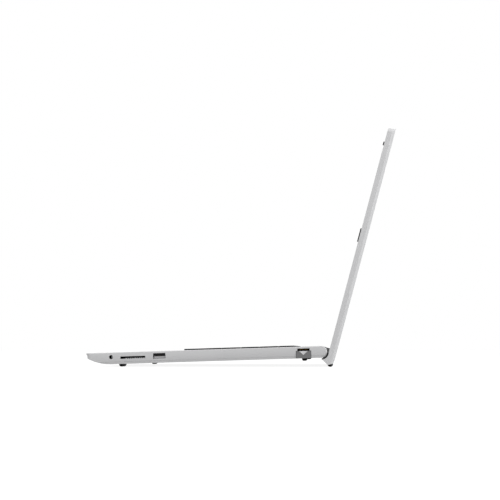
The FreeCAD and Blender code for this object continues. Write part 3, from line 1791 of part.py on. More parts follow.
def hinge_cover(side):
    """A barrel round the hinge's hub with a neck up to the bezel."""
    gap = S.hinge_cover_gap
    stretch = sided(side, notch_in + gap, notch_out - gap)
    barrel = rod("hinge_cover_barrel", "x", stretch, (zero, zero), S.hinge_cover_radius)
    neck_y = (-S.hinge_cover_radius, S.hinge_cover_back)
    neck = box("hinge_cover_neck", stretch, neck_y, (zero, inner))
    wall = S.hinge_cover_wall
    hollow = sided(side, notch_in + gap + wall, notch_out - gap - wall)
    room = rod("hinge_cover_room", "x", hollow, (zero, zero), S.hinge_cover_radius - wall)
    mouth = sided(side, notch_in, notch_in + gap + wall + S.cut_margin)
    shaft_way = rod("hinge_cover_mouth", "x", mouth, (zero, zero), S.shaft_hole_radius)
    slot = neck_slot(side, "hinge_cover_slot", zero, inner + S.cut_margin)
    return cut("hinge_cover", fuse("hinge_cover_form", barrel, neck), room, shaft_way, slot)


# The lid, modelled shut over the base.


def heel():
    return (cradle + S.heel_reach, inner + S.heel_rise)


def foot_top():
    return (cradle + S.lid_foot_back, outer - S.lid_foot_drop)


def lid_form():
    """The lid's outer form with the tail that reaches round behind the hinge."""
    bend = foot_top()[0] - S.tail_bend
    corners = [
        (lid_edge, inner),
        (S.tail_root, inner),
        (S.tail_root, S.tail_low),
        (cradle, S.tail_low),
        (cradle + S.tail_tip, S.tail_tip_rise),
        heel(),
        foot_top(),
        (bend, outer),
        (lid_tip, outer),
    ]
    return shell_form("lid_form", corners, lid_tip)


def side_bevels():
    """Long wedges that bevel the lid's two outer side edges."""
    wedges = []
    for side in SIDES:
        edge = half * side
        outline = [
            (edge, outer - S.edge_band),
            ((half + S.cut_margin) * side, outer - S.edge_band),
            ((half + S.cut_margin) * side, outer + S.cut_margin),
            ((half - S.edge_bevel) * side, outer + S.cut_margin),
            ((half - S.edge_bevel) * side, outer),
        ]
        reach = -lid_tip + S.cut_margin
        wedges.append(padded("lid_bevel", "XZ_Plane", outline, -heel()[0] - S.cut_margin * 4, reach))
    return wedges


def lid_cover():
    form = lid_form()
    wall = S.lid_wall
    hollow = rounded(
        "lid_hollow",
        (-half + wall, half - wall),
        (lid_edge + wall, S.tail_root - S.bezel_gap),
        (inner - S.cut_margin, lid_inside),
        S.corner_radius - wall,
        "z",
        lambda point: point.y < 0 and point.y < lid_edge.value / 2,
    )
    across = (-half - S.cut_margin, half + S.cut_margin)
    bearing = rod("lid_cradle", "x", across, (zero, zero), cradle)
    shell = cut("lid_shell", form, hollow, bearing, *side_bevels())
    bosses = []
    bores = []
    for side in SIDES:
        for x, y in leaf_places(side):
            bosses.append(rod("leaf_boss", "z", (leaf_top, lid_inside), (x, y), S.leaf_boss_radius))
            bore = (leaf_top - S.cut_margin, leaf_top + S.small_screw_grip)
            bores.append(rod("leaf_bore", "z", bore, (x, y), S.small_screw_radius + S.screw_clearance))
    return cut("lid_cover_part", fuse("lid_bossed", shell, *bosses), *bores)


def lid_foot():
    """A rubber strip with a round outer face along the tail's corner."""
    low = heel()
    high = foot_top()
    chord_y = high[0] - low[0]
    chord_z = high[1] - low[1]
    bulge = S.lid_foot_bulge
    radius = ((chord_y * chord_y + chord_z * chord_z) / 4 + bulge * bulge) / (bulge * 2)
    corners = [(low[0], low[1], radius, 1), (high[0], high[1])]
    inset = S.lid_foot_inset
    return padded("lid_foot_part", "YZ_Plane", corners, -half + inset, half - inset), radius


def cradle_strip():
    """A soft black strip that lines the hollow of the tail behind the hinge."""
    across = (-half + S.cradle_strip_inset, half - S.cradle_strip_inset)
    bar = rod("cradle_strip_bar", "x", across, (zero, zero), cradle)
    room = rod("cradle_strip_room", "x", across, (zero, zero), cradle - S.cradle_strip_thick)
    ring = cut("cradle_strip_ring", bar, room)
    low = S.tail_low - S.cradle_strip_proud
    stretch = box("cradle_strip_stretch", across, (S.tail_root, cradle), (low, cradle))
    return common("cradle_strip_part", ring, stretch)


def display_bezel():
    edge = S.lid_wall + S.bezel_gap
    plate = rounded(
        "bezel_plate",
        (-half + edge, half - edge),
        (lid_edge + edge, S.tail_root - S.bezel_gap),
        (inner, bezel_back),
        S.corner_radius - edge,
        "z",
        lambda point: point.y < lid_edge.value / 2,
    )
    through = (inner - S.cut_margin, bezel_back + S.cut_margin)
    screen_x = span(zero, screen_width)
    opening = rounded("bezel_opening", screen_x, (screen_front, screen_back), through, S.screen_corner)
    lens = rod("bezel_lens_hole", "z", through, (zero, camera_y()), S.camera_hole_radius)
    slots = [neck_slot(side, "bezel_slot", *through) for side in SIDES]
    return cut("bezel_part", plate, opening, lens, *slots)


def display_panel():
    x = (-panel_half, panel_half)
    return box("panel_part", x, (panel_front, panel_back), (bezel_back, bezel_back + S.panel_thick))


def camera_y():
    return panel_front - S.camera_gap - S.camera_depth / 2


def camera_module():
    lens_top = bezel_back + S.camera_lens_height
    board = box(
        "camera_board",
        span(zero, S.camera_width),
        span(camera_y(), S.camera_depth),
        (lens_top, lens_top + S.camera_thick),
    )
    lens = rod("camera_lens", "z", (bezel_back, lens_top), (zero, camera_y()), S.camera_lens_radius)
    return fuse("camera_part", board, lens)


def lid_bumpers():
    low = inner - S.bumper_height
    solids = []
    for side in SIDES:
        middle = (half - S.bumper_inset) * side
        strip_x = span(middle, S.bumper_width)
        strip_y = (-S.strip_low - S.strip_length, -S.strip_low)
        solids.append(rounded("bumper_strip", strip_x, strip_y, (low, inner), S.bumper_width * ROUND_END))
        button = (middle, lid_edge + S.button_inset)
        solids.append(rod("bumper_button", "z", (low, inner), button, S.bumper_radius))
    return together("bumper_group", *solids)


def display_cable():
    """A flat cable from the back of the panel to the left hinge."""
    start = -S.cable_start
    end = -bracket_end()
    low = bezel_back + S.panel_thick
    corners = [
        (start - S.cable_width, panel_back - S.cable_overlap),
        (start, panel_back - S.cable_overlap),
        (start, panel_back + S.cable_drop + S.cable_width),
        (end, panel_back + S.cable_drop + S.cable_width),
        (end, panel_back + S.cable_drop),
        (start - S.cable_width, panel_back + S.cable_drop),
    ]
    return padded("cable_part", "XY_Plane", corners, low, low + S.cable_thick)


# How the open laptop stands: on its front feet and on the lid's tail.


def turned(y, z, degrees):
    """A point of the hinge frame after a turn about the hinge axis."""
    angle = math.radians(degrees)
    return y * math.cos(angle) - z * math.sin(angle), y * math.sin(angle) + z * math.cos(angle)


def lid_foot_center(radius):
    """The middle of the round face of the lid's foot."""
    low = heel()
    high = foot_top()
    chord_y = high[0].value - low[0].value
    chord_z = high[1].value - low[1].value
    length = math.hypot(chord_y, chord_z)
    outward = (chord_z / length, -chord_y / length)
    sink = S.lid_foot_bulge.value - radius
    middle_y = (low[0].value + high[0].value) / 2
    middle_z = (low[1].value + high[1].value) / 2
    return middle_y + outward[0] * sink, middle_z + outward[1] * sink


def standing_pose(foot_radius):
    """The base's tilt in degrees and the height of the hinge axis above the table."""
    center = lid_foot_center(foot_radius)
    round_radius = S.foot_round.value
    foot_y = -front_foot_y.value - S.front_foot_depth.value / 2 + round_radius
    foot_z = (floor - S.foot_height).value + round_radius
    low, high = TILT_LIMITS
    for _ in range(TILT_STEPS):
        tilt = (low + high) / 2
        tail_low = turned(*center, tilt - S.lid_open.value)[1] - foot_radius
        front_low = turned(foot_y, foot_z, tilt)[1] - round_radius
        if front_low > tail_low:
            low = tilt
        else:
            high = tilt
    return tilt, -tail_low


def placed(axis_y, axis_z, degrees):
    turn = FreeCAD.Rotation(FreeCAD.Vector(1, 0, 0), degrees)
    return FreeCAD.Placement(FreeCAD.Vector(0, axis_y, axis_z), turn)


def build_base():
    form = base_form()
    piece("top_case", top_case(form), "base")
    piece("bottom_cover", bottom_cover(form), "base")
    front_pair, rear_pair = foot_spans()
    piece("front_feet", feet("front", front_pair), "base")
    piece("rear_feet", feet("rear", rear_pair), "base")
    piece("case_screws", case_screws(), "base")
    cells = key_cells()
    for name, group in cells.items():
        piece(name, shaped(name + "_caps", [key_cap(cell) for cell in group]), "base")
    domes = [key_dome(cell) for group in cells.values() for cell in group]
    piece("key_domes", shaped("dome_solids", domes), "base")
    piece("keyboard_web", keyboard_web(cells), "base")
    piece("keyboard_plate", keyboard_plate(), "base")
    piece("touchpad", touchpad(), "base")
    piece("touchpad_bracket", touchpad_bracket(), "base")


def build_inside():
    piece("motherboard", motherboard(), "base")
    piece("board_screws", board_screws(), "base")
    piece("processor", processor(), "base")
    piece("heat_spreader", heat_spreader(), "base")
    piece("heat_pipe", heat_pipe(), "base")
    piece("fin_stack", fin_stack(), "base")
    piece("fan_housing", fan_housing(), "base")
    piece("fan_rotor", fan_rotor(), "base")
    piece("board_sockets", together("board_socket_group", memory_socket(), *card_sockets()), "base")
    piece("memory_module", memory_module(), "base")
    drive_place, wireless_place = card_socket_places()
    piece("solid_state_drive", plug_in_card("drive", drive_place, S.drive_length), "base")
    piece("wireless_card", plug_in_card("wireless", wireless_place, S.wireless_length), "base")
    piece("battery_pack", battery_pack(), "base")
    piece("left_speaker", speaker(LEFT), "base")
    piece("right_speaker", speaker(RIGHT), "base")


def build_ports():
    piece("io_board", io_board(), "base")
    piece("audio_jack", audio_jack(), "base")
    piece("card_reader", card_reader(), "base")
    piece("right_usb_socket", right_usb_socket(), "base")
    piece("network_jack", network_jack(), "base")
    piece("network_jaw", network_jaw(), "base")
    piece("power_inlet", power_inlet(), "base")
    piece("hdmi_socket", hdmi_socket(), "base")
    piece("left_usb_socket", left_usb_socket(), "base")
    piece("usb_c_socket", usb_c_socket(), "base")


def build_hinges():
    piece("left_hinge_bracket", hinge_bracket(LEFT), "base")
    piece("right_hinge_bracket", hinge_bracket(RIGHT), "base")
    piece("hinge_screws", hinge_screws(), "base")
    piece("hinge_nuts", hinge_nuts(), "lid")
    piece("left_hinge_arm", hinge_arm(LEFT), "lid")
    piece("right_hinge_arm", hinge_arm(RIGHT), "lid")
    piece("lid_screws", lid_screws(), "lid")
    piece("hinge_covers", together("hinge_cover_pair", hinge_cover(LEFT), hinge_cover(RIGHT)), "lid")


def build_lid():
    piece("lid_cover", lid_cover(), "lid")
    foot, radius = lid_foot()
    piece("lid_foot", foot, "lid")
    piece("cradle_strip", cradle_strip(), "lid")
    piece("display_bezel", display_bezel(), "lid")
    piece("display_panel", display_panel(), "lid")
    piece("camera_module", camera_module(), "lid")
    piece("lid_bumpers", lid_bumpers(), "lid")
    piece("display_cable", display_cable(), "lid")
    return radius.value


def check_document():
    for thing in doc.Objects:
        if "Invalid" in thing.State or "Error" in thing.State:
            raise RuntimeError(f"{thing.Name} failed: {thing.State}")
    for label, thing, _ in PIECES:
        if thing.Shape.isNull() or not thing.Shape.isValid():
            raise RuntimeError(f"{label} has no valid shape")


def stand_up(foot_radius):
    """Turns both halves into the open pose, with the middle of the whole above the origin."""
    tilt, axis_z = standing_pose(foot_radius)
    turns = {"base": tilt, "lid": tilt - S.lid_open.value}
    by_label = {label: thing for label, thing, _ in PIECES}
    axis_y = 0.0
    for _ in range(2):
        for _, thing, half_name in PIECES:
            thing.Placement = placed(axis_y, axis_z, turns[half_name])
        case_box = by_label["top_case"].Shape.BoundBox
        lid_box = by_label["lid_cover"].Shape.BoundBox
        axis_y -= (case_box.YMin + lid_box.YMax) / 2
    return tilt, axis_z


def print_joints(tilt):
    """Prints where the joints are in the open pose, for the record."""
    base = next(thing for label, thing, _ in PIECES if label == "top_case").Placement
    fan_x, fan_y = fan_middle()
    pivots = {
        "lid hinge": (zero, zero, zero),
        "network jaw pivot": (jaw_pivot_x, jaw_y, jaw_pivot_z),
        "touchpad pivot": (touchpad_x, touchpad_back - S.touchpad_gap, touchpad_bottom),
        "fan axle": (fan_x, fan_y, fan_levels()[0]),
        "audio jack mouth": (inside_x, -audio_y, S.audio_z),
        "front foot sole": (front_foot_x, -front_foot_y, floor - S.foot_height),
        "network room low": (jaw_pivot_x, jaw_y - S.network_mouth_width / 2, floor + S.jaw_tray),
        "network room high": (inside_x, jaw_y + S.network_mouth_width / 2, S.network_mouth_top),
    }
    print("base tilt", round(tilt, 4))
    for name, place in pivots.items():
        point = base.multVec(FreeCAD.Vector(*[coordinate.value for coordinate in place]))
        print(name, [round(value, 4) for value in point])


def main():
    build_base()
    build_inside()
    build_ports()
    build_hinges()
    foot_radius = build_lid()
    doc.recompute()
    check_document()
    tilt, _ = stand_up(foot_radius)
    check_document()
    os.makedirs("parts", exist_ok=True)
    for label, thing, _ in PIECES:
        thing.Shape.exportStep(f"parts/{label}.step")
    print(len(PIECES), "sub-parts")
    print_joints(tilt)


main()
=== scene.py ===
# %% [markdown]
# # An open laptop, seen from its right side
#
# The solid model of the laptop is loaded first, as a fixed frame in metres. It already holds the case,
# the keys, the sockets and the hinges, so this lesson adds what a solid model lacks: finishes, lettering
# on the keys, contacts and springs in the sockets, a painted highlight on the network jack's jaw, a black
# lip of painted shade at the lid's tail, a lens and dark crosses of painted shade for the screw drives.
# Everything is placed by the sizes of the solid model.

# %% Load the frame
import json
import math

import bpy
from mathutils import Matrix, Vector


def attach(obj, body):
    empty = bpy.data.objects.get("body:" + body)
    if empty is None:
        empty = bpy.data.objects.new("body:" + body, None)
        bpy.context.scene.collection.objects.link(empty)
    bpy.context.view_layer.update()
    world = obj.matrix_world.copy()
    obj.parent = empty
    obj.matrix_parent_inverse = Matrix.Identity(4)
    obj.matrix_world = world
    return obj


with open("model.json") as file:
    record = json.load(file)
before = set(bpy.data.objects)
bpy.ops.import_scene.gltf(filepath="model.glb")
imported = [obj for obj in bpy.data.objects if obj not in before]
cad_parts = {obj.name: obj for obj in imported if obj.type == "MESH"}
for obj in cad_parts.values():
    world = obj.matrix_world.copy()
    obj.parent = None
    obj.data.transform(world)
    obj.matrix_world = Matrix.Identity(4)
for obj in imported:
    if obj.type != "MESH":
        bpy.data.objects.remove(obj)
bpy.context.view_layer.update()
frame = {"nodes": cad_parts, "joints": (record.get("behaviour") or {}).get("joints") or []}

bpy.ops.object.select_all(action="DESELECT")

# %% [markdown]
# ## Frames that lie on the tilted base and on the lid
#
# The laptop stands on its front feet and on the lid's tail, so the base is tilted by a little under two
# degrees. Small pieces are easier to place in a frame that tilts with it: X to the right, Y to the rear,
# Z up through the deck, with its origin on the hinge axis. A second frame is turned further by the lid,
# so a piece of the lid is placed as if the lid were shut. The joints of the loaded model say where the
# axis is, how the base leans and how far the lid is open, so nothing has to be measured again.

# %% The base frame and the lid frame
MM = 0.001
joints = {joint["name"]: joint for joint in frame["joints"]}
hinge = Vector(joints["lid_hinge"]["pos_m"])
deck_up = Vector(joints["fan_spin"]["axis"])
tilt = math.atan2(-deck_up.y, deck_up.z)
base_frame = Matrix.Translation(hinge) @ Matrix.Rotation(tilt, 4, "X")
lid_open = math.radians(-joints["lid_hinge"]["range_deg"][0])
lid_frame = Matrix.Translation(hinge) @ Matrix.Rotation(tilt - lid_open, 4, "X")
print("hinge", [round(v, 4) for v in hinge])
print("tilt", round(math.degrees(tilt), 2), "lid open by", round(math.degrees(lid_open), 2))

# %% [markdown]
# ## Sizes that the added pieces share with the solid model
#
# Lettering has to lie on the caps and contacts on their tongues. These are the same sizes, in
# millimetres, that the solid model was drawn from, measured in the base frame.

# %% Shared sizes in millimetres
HALF_WIDTH = 180.5
SIDE_WALL = 1.8
INSIDE_WALL = HALF_WIDTH - SIDE_WALL
DECK = 5.9
UNDERSIDE = -5.9
KEY_PITCH_X = 18.4
KEY_PITCH_Y = 19.2
FUNCTION_PITCH = 16.4
FUNCTION_ROW = 5
MAIN_UNITS = 15
KEYS_LEFT = -171.6
KEYS_FRONT = -139.0
KEY_TOP = DECK + 1.3
PAD_PITCH = 16.8
PAD_COLUMNS = 4
PAD_LEFT = KEYS_LEFT + MAIN_UNITS * KEY_PITCH_X
print("key field", KEYS_LEFT, "to", round(PAD_LEFT + PAD_COLUMNS * PAD_PITCH, 1))

# %% [markdown]
# ## Colours and nodes
#
# Colours are written as the hex codes a picture editor shows. Blender mixes light in linear values, so
# one function turns a code into those, by the standard sRGB curve. A second small function adds a shader
# node, sets it up and links it, and every finish below is made with these two. A third starts a finish
# with an empty tree.


# %% Colour and node helpers
def tone(code):
    """A hex colour as linear red, green, blue and alpha."""
    channels = [int(code[place:place + 2], 16) / 255 for place in (1, 3, 5)]
    linear = [c / 12.92 if c <= 0.04045 else ((c + 0.055) / 1.055) ** 2.4 for c in channels]
    return (*linear, 1.0)


def add(tree, kind, settings=None, **inputs):
    """A node with its settings; an input is named or is i and its number, and gets a value or a socket."""
    node = tree.nodes.new("ShaderNode" + kind)
    for name, value in (settings or {}).items():
        setattr(node, name, value)
    for name, value in inputs.items():
        socket = node.inputs[int(name[1:]) if name[1:].isdigit() else name.replace("_", " ")]
        if isinstance(value, bpy.types.NodeSocket):
            tree.links.new(value, socket)
        else:
            socket.default_value = value
    return node


finishes = {}


def empty_finish(name):
    """A new material in the list of finishes, and the empty tree to build it in."""
    finishes[name] = bpy.data.materials.new(name)
    finishes[name].use_nodes = True
    tree = finishes[name].node_tree
    tree.nodes.clear()
    return tree


print("a middle grey in linear values", [round(c, 3) for c in tone("#808080")])

# %% [markdown]
# ## Moulded and painted surfaces
#
# Most of what the eye meets here is a fine, even grain: spark-eroded moulds leave it on plastic, and
# metallic paint has it from its flakes. A picture of such a surface would show its edges and repeats, so
# noise makes the grain instead, in real sizes: a noise of the grain's width gives the small relief and
# changes the gloss a little, and a second, broad noise lets the colour drift as it does over a real
# panel. Grain finer than a pixel can't show, so the widths are the coarsest that still look right.

# %% A grained finish
GRAIN_SHARE = 0.35
TONE_START = 0.35
GLOSS_SPREAD = 0.06
RELIEF_STRENGTH = 0.6


def grained(name, dark, light, grain_mm, relief_mm, roughness, metallic=0.0, ior=1.5, specular=0.5,
            stretch=(1, 1, 1), drift_mm=70.0):
    """A finish between two tones, by the width and depth of its grain and by its roughness."""
    tree = empty_finish(name)
    place = add(tree, "TexCoord").outputs["Object"]
    spread = add(tree, "Mapping", Vector=place, Scale=stretch).outputs["Vector"]
    grain = add(tree, "TexNoise", Vector=spread, Scale=1 / (grain_mm * MM), Detail=3.0, Roughness=0.6)
    height = grain.outputs["Fac"]
    drift = add(tree, "TexNoise", Vector=place, Scale=1 / (drift_mm * MM), Detail=2.0)
    blend = add(tree, "Math", {"operation": "MULTIPLY_ADD"}, i0=height, i1=GRAIN_SHARE,
                i2=drift.outputs["Fac"])
    colour = add(tree, "ValToRGB", Fac=blend.outputs["Value"])
    start, end = colour.color_ramp.elements
    start.position = TONE_START
    start.color = tone(dark)
    end.color = tone(light)
    gloss = add(tree, "MapRange", Value=height, To_Min=roughness - GLOSS_SPREAD,
                To_Max=roughness + GLOSS_SPREAD)
    relief = add(tree, "Bump", Height=height, Distance=relief_mm * MM, Strength=RELIEF_STRENGTH)
    surface = add(tree, "BsdfPrincipled", Base_Color=colour.outputs["Color"], Metallic=metallic,
                  Roughness=gloss.outputs["Result"], IOR=ior, Specular_IOR_Level=specular,
                  Normal=relief.outputs["Normal"])
    add(tree, "OutputMaterial", Surface=surface.outputs["BSDF"])


# Silver paint on the shells: small flakes, satin, no mirror.
grained("silver_painted_shell", "#c2c2c3", "#cacacb", 0.5, 0.012, 0.5, metallic=0.08, specular=0.3)
# The web between the keys has the same paint on plastic, a little darker.
grained("silver_painted_web", "#b4b4b5", "#c2c2c3", 0.5, 0.012, 0.5, metallic=0.08, specular=0.3)
# ABS caps from a grained mould: nearly black, dull, with a faint sheen.
grained("black_abs_keycap", "#070708", "#0f0f10", 0.45, 0.02, 0.6, specular=0.12)
# Rubber is dull and slightly dusty; on the cradle strip and the tail's lip its black is painted shade for the
# gap between lid and base.
grained("black_rubber", "#0b0b0b", "#171717", 0.8, 0.05, 0.75, specular=0.25)
# The jaw and the hinge covers are a mid grey moulding with a soft sheen.
grained("grey_moulded_plastic", "#626263", "#717172", 0.6, 0.02, 0.5)
# Fan, speakers and card reader are dark mouldings that hardly catch the light.
grained("dark_moulded_plastic", "#141415", "#202021", 0.6, 0.02, 0.55, specular=0.25)
# The bezel is a fine-grained black moulding with a clearer sheen.
grained("black_bezel_plastic", "#111112", "#1b1b1c", 0.5, 0.02, 0.46)
# The touchpad is a coated sheet, smoother than the deck round it.
grained("coated_touchpad", "#c2c2c3", "#cdcdce", 0.3, 0.004, 0.32, metallic=0.1)
# Silicone of the domes under the caps: pale, cloudy and soft to the eye.
grained("milky_silicone", "#a9aaa8", "#bcbdbb", 1.2, 0.02, 0.55, ior=1.41)
# The wrap of the battery is a thin, slightly creased film.
grained("battery_film", "#121214", "#1e1e21", 9.0, 0.15, 0.3)
# Nylon of the sockets: black and matt, so an opening looks deep; on the screw drives the same black is
# painted shade for a sunk cross.
grained("black_nylon_and_painted_shade", "#0d0d0e", "#191919", 0.7, 0.02, 0.6, specular=0.25)
# The resin of a chip is charcoal and quite matt.
grained("chip_resin", "#1c1c1d", "#28282a", 0.4, 0.01, 0.62)
# The film of the display's cable is amber brown and rather glossy.
grained("cable_polyimide", "#3a2a12", "#4a3818", 1.5, 0.02, 0.35)
print("grained finishes", len(finishes))

# %% [markdown]
# ## Metals
#
# Rolled and ground metal shows short scratches along one way. They could be drawn line by line, but the
# same noise gives them when its coordinates are squeezed: long in the rolling direction and narrow across
# it. Plated sockets, copper, raw aluminium and steel then differ by their tone and by how rough they are.

# %% Metal finishes
# Plated shells of the sockets: grey with streaks along the width, painted darker than bright plate as painted
# shade for the inside of the sockets.
grained("plated_steel_painted_shade", "#848486", "#9c9c9e", 0.5, 0.004, 0.34, metallic=1.0, stretch=(0.15, 1, 1))
# Spring steel keeps the long scratches of the rolls.
grained("rolled_spring_steel", "#8d8e91", "#a6a7aa", 0.6, 0.006, 0.38, metallic=1.0, stretch=(0.08, 1, 1))
# Black oxide makes the screws dark, with a metal's highlight.
grained("black_oxide_steel", "#1b1b1d", "#2a2a2d", 0.4, 0.004, 0.42, metallic=1.0)
# Bare copper is warm and a little stained.
grained("bare_copper", "#a8643f", "#c98258", 2.0, 0.01, 0.33, metallic=1.0, drift_mm=18.0)
# Raw aluminium of the fins is pale, with streaks from front to rear.
grained("raw_fin_aluminium", "#b4b5b7", "#cccdcf", 0.8, 0.01, 0.4, metallic=1.0, stretch=(1, 0.1, 1))
# Gold plate on contacts is smooth and bright.
grained("gold_plating", "#b98a3d", "#d8ab5a", 0.4, 0.002, 0.24, metallic=1.0)
print("finishes", len(finishes))

# %% [markdown]
# ## Circuit boards
#
# A board is lacquer over copper tracks: the tracks stand out as slightly raised, lighter bands that run
# along the two sides of the board. The boards lie inside the case, so tracks drawn one by one would be
# wasted. A brick pattern gives bands of that kind with no drawing: its bricks are the bare board and its
# joints are the tracks.

# %% The circuit board finish
TRACK_SHARE = 0.06
TRACK_HEIGHT = 0.03
LACQUER_GRAIN = 0.9
LACQUER_ROUGHNESS = (0.28, 0.42)


def circuit_board(name, lacquer, track, pitch_mm):
    """A lacquered board by its two tones and the pitch of its tracks."""
    tree = empty_finish(name)
    place = add(tree, "TexCoord").outputs["Object"]
    tracks = add(tree, "TexBrick", Vector=place, Scale=1 / (pitch_mm * MM), Color1=tone(lacquer),
                 Color2=tone(lacquer), Mortar=tone(track), Mortar_Size=TRACK_SHARE)
    grain = add(tree, "TexNoise", Vector=place, Scale=1 / (LACQUER_GRAIN * MM), Detail=2.0)
    relief = add(tree, "Bump", Height=tracks.outputs["Fac"], Distance=TRACK_HEIGHT * MM, Strength=0.5)
    smooth, rough = LACQUER_ROUGHNESS
    gloss = add(tree, "MapRange", Value=grain.outputs["Fac"], To_Min=smooth, To_Max=rough)
    surface = add(tree, "BsdfPrincipled", Base_Color=tracks.outputs["Color"], IOR=1.5,
                  Roughness=gloss.outputs["Result"], Normal=relief.outputs["Normal"])
    add(tree, "OutputMaterial", Surface=surface.outputs["BSDF"])


# Green lacquer with paler tracks under it, glossy.
circuit_board("green_circuit_board", "#0f3d22", "#2c6a41", 3.2)
# Black lacquer, on which the tracks only just show.
circuit_board("black_circuit_board", "#101512", "#2a332e", 2.4)
print("circuit boards", [name for name in finishes if "circuit" in name])

# %% [markdown]
# ## The display
#
# With the power off, a display is a very dark, slightly blue pane under a hard anti-glare coat. One plain
# dark colour would look like paint. The sub-pixels are far too fine to see, so their stripes are drawn
# 7.5 mm apart and so faint that they only break up the pane. The coat does the reflecting, so it has its
# own low roughness.

# %% The display finish
STRIPE_PITCH = 7.54
WAVE_TURN = 20.0  # radians by which the wave texture turns over one unit
HAZE_WIDTH = 40.0
tree = empty_finish("display_glass")
place = add(tree, "TexCoord").outputs["Object"]
stripes = add(tree, "TexWave", Vector=place, Scale=math.tau / (WAVE_TURN * STRIPE_PITCH * MM))
pane = add(tree, "Mix", {"data_type": "RGBA"}, Factor=stripes.outputs["Fac"], i6=tone("#08090b"),
           i7=tone("#0c0d10"))
haze = add(tree, "TexNoise", Vector=place, Scale=1 / (HAZE_WIDTH * MM), Detail=2.0)
gloss = add(tree, "MapRange", Value=haze.outputs["Fac"], To_Min=0.16, To_Max=0.24)
surface = add(tree, "BsdfPrincipled", Base_Color=pane.outputs[2], Roughness=gloss.outputs["Result"], IOR=1.5,
              Specular_IOR_Level=0.3, Coat_Weight=0.2, Coat_Roughness=0.12)
add(tree, "OutputMaterial", Surface=surface.outputs["BSDF"])
print("display finish with", len(tree.nodes), "nodes")

# %% [markdown]
# ## Giving every solid its finish
#
# Each solid of the model already has a material slot, so it only needs the right finish put into it. A
# list from each finish to its solids is shorter than a line for every solid, and shows at once what is
# made of the same stuff. The meshes themselves stay as they are.

# %% Finishes for the solids
SOLID_FINISH = {
    "silver_painted_shell": ("top_case", "bottom_cover", "lid_cover"),
    "silver_painted_web": ("keyboard_web",),
    "black_abs_keycap": ("function_keys", "number_keys", "upper_letter_keys", "home_letter_keys",
                         "lower_letter_keys", "control_keys", "space_bar", "numpad_enter_key",
                         "power_button"),
    # The cradle strip's black is painted shade for the gap between lid and base.
    "black_rubber": ("front_feet", "rear_feet", "lid_foot", "lid_bumpers", "cradle_strip"),
    "grey_moulded_plastic": ("network_jaw", "hinge_covers"),
    "dark_moulded_plastic": ("fan_housing", "fan_rotor", "left_speaker", "right_speaker", "card_reader"),
    "black_bezel_plastic": ("display_bezel", "camera_module"),
    "coated_touchpad": ("touchpad",),
    "milky_silicone": ("key_domes",),
    "battery_film": ("battery_pack",),
    "black_nylon_and_painted_shade": ("audio_jack", "network_jack", "power_inlet", "board_sockets"),
    "chip_resin": ("processor",),
    "cable_polyimide": ("display_cable",),
    "plated_steel_painted_shade": ("right_usb_socket", "left_usb_socket", "hdmi_socket", "usb_c_socket"),
    "rolled_spring_steel": ("keyboard_plate", "touchpad_bracket", "left_hinge_bracket", "right_hinge_bracket",
                            "left_hinge_arm", "right_hinge_arm", "hinge_nuts"),
    "black_oxide_steel": ("case_screws", "board_screws", "hinge_screws", "lid_screws"),
    "bare_copper": ("heat_spreader", "heat_pipe"),
    "raw_fin_aluminium": ("fin_stack",),
    "green_circuit_board": ("motherboard", "memory_module"),
    "black_circuit_board": ("io_board", "solid_state_drive", "wireless_card"),
    "display_glass": ("display_panel",),
}


def wear(piece, finish):
    """Puts a finish into every material slot of a piece, or into a new slot."""
    if not piece.material_slots:
        piece.data.materials.append(finishes[finish])
    for slot in piece.material_slots:
        slot.material = finishes[finish]


for finish, names in SOLID_FINISH.items():
    for name in names:
        wear(frame["nodes"][name], finish)
bare = set(frame["nodes"]) - {name for names in SOLID_FINISH.values() for name in names}
print("solids without a finish:", sorted(bare))

# %% [markdown]
# ## Placing new pieces
#
# A piece is modelled in the base frame or the lid frame, at its real size, and is then carried to its
# place. It could keep that place as a setting of the object, but here it is applied to the mesh, so that
# the finished object sits at the origin like the solids do. Last, the piece is told which body it rides
# on, so it moves with the right joint.


# %% Placing helpers
def only(piece):
    """Makes one object the only selected and active one."""
    bpy.ops.object.select_all(action="DESELECT")
    piece.select_set(True)
    bpy.context.view_layer.objects.active = piece


def fix_place(piece):
    """Puts the place, turn and scale of a piece into its mesh."""
    only(piece)
    bpy.ops.object.transform_apply(location=True, rotation=True, scale=True)


def settle(piece, name, where, body, finish):
    """Carries a piece from its own frame to its place, applies that, and lets it ride a body."""
    fix_place(piece)
    piece.matrix_world = where
    fix_place(piece)
    piece.name = name
    piece.data.name = name
    wear(piece, finish)
    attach(piece, body)
    print(name, len(piece.data.polygons), "faces on", body)


def join(pieces):
    """One object from several."""
    only(pieces[0])
    for piece in pieces:
        piece.select_set(True)
    bpy.ops.object.join()
    return pieces[0]


# %% [markdown]
# ## Lettering on the keys
#
# The caps carry plain printed letters, numbers and words. They could be one picture laid over the
# keyboard, but letters with a mesh of their own stay sharp from near and move with their caps. Each row
# lists the widths of its caps, in units of a letter key, and what is printed on them. The number pad at
# the right has columns of its own.

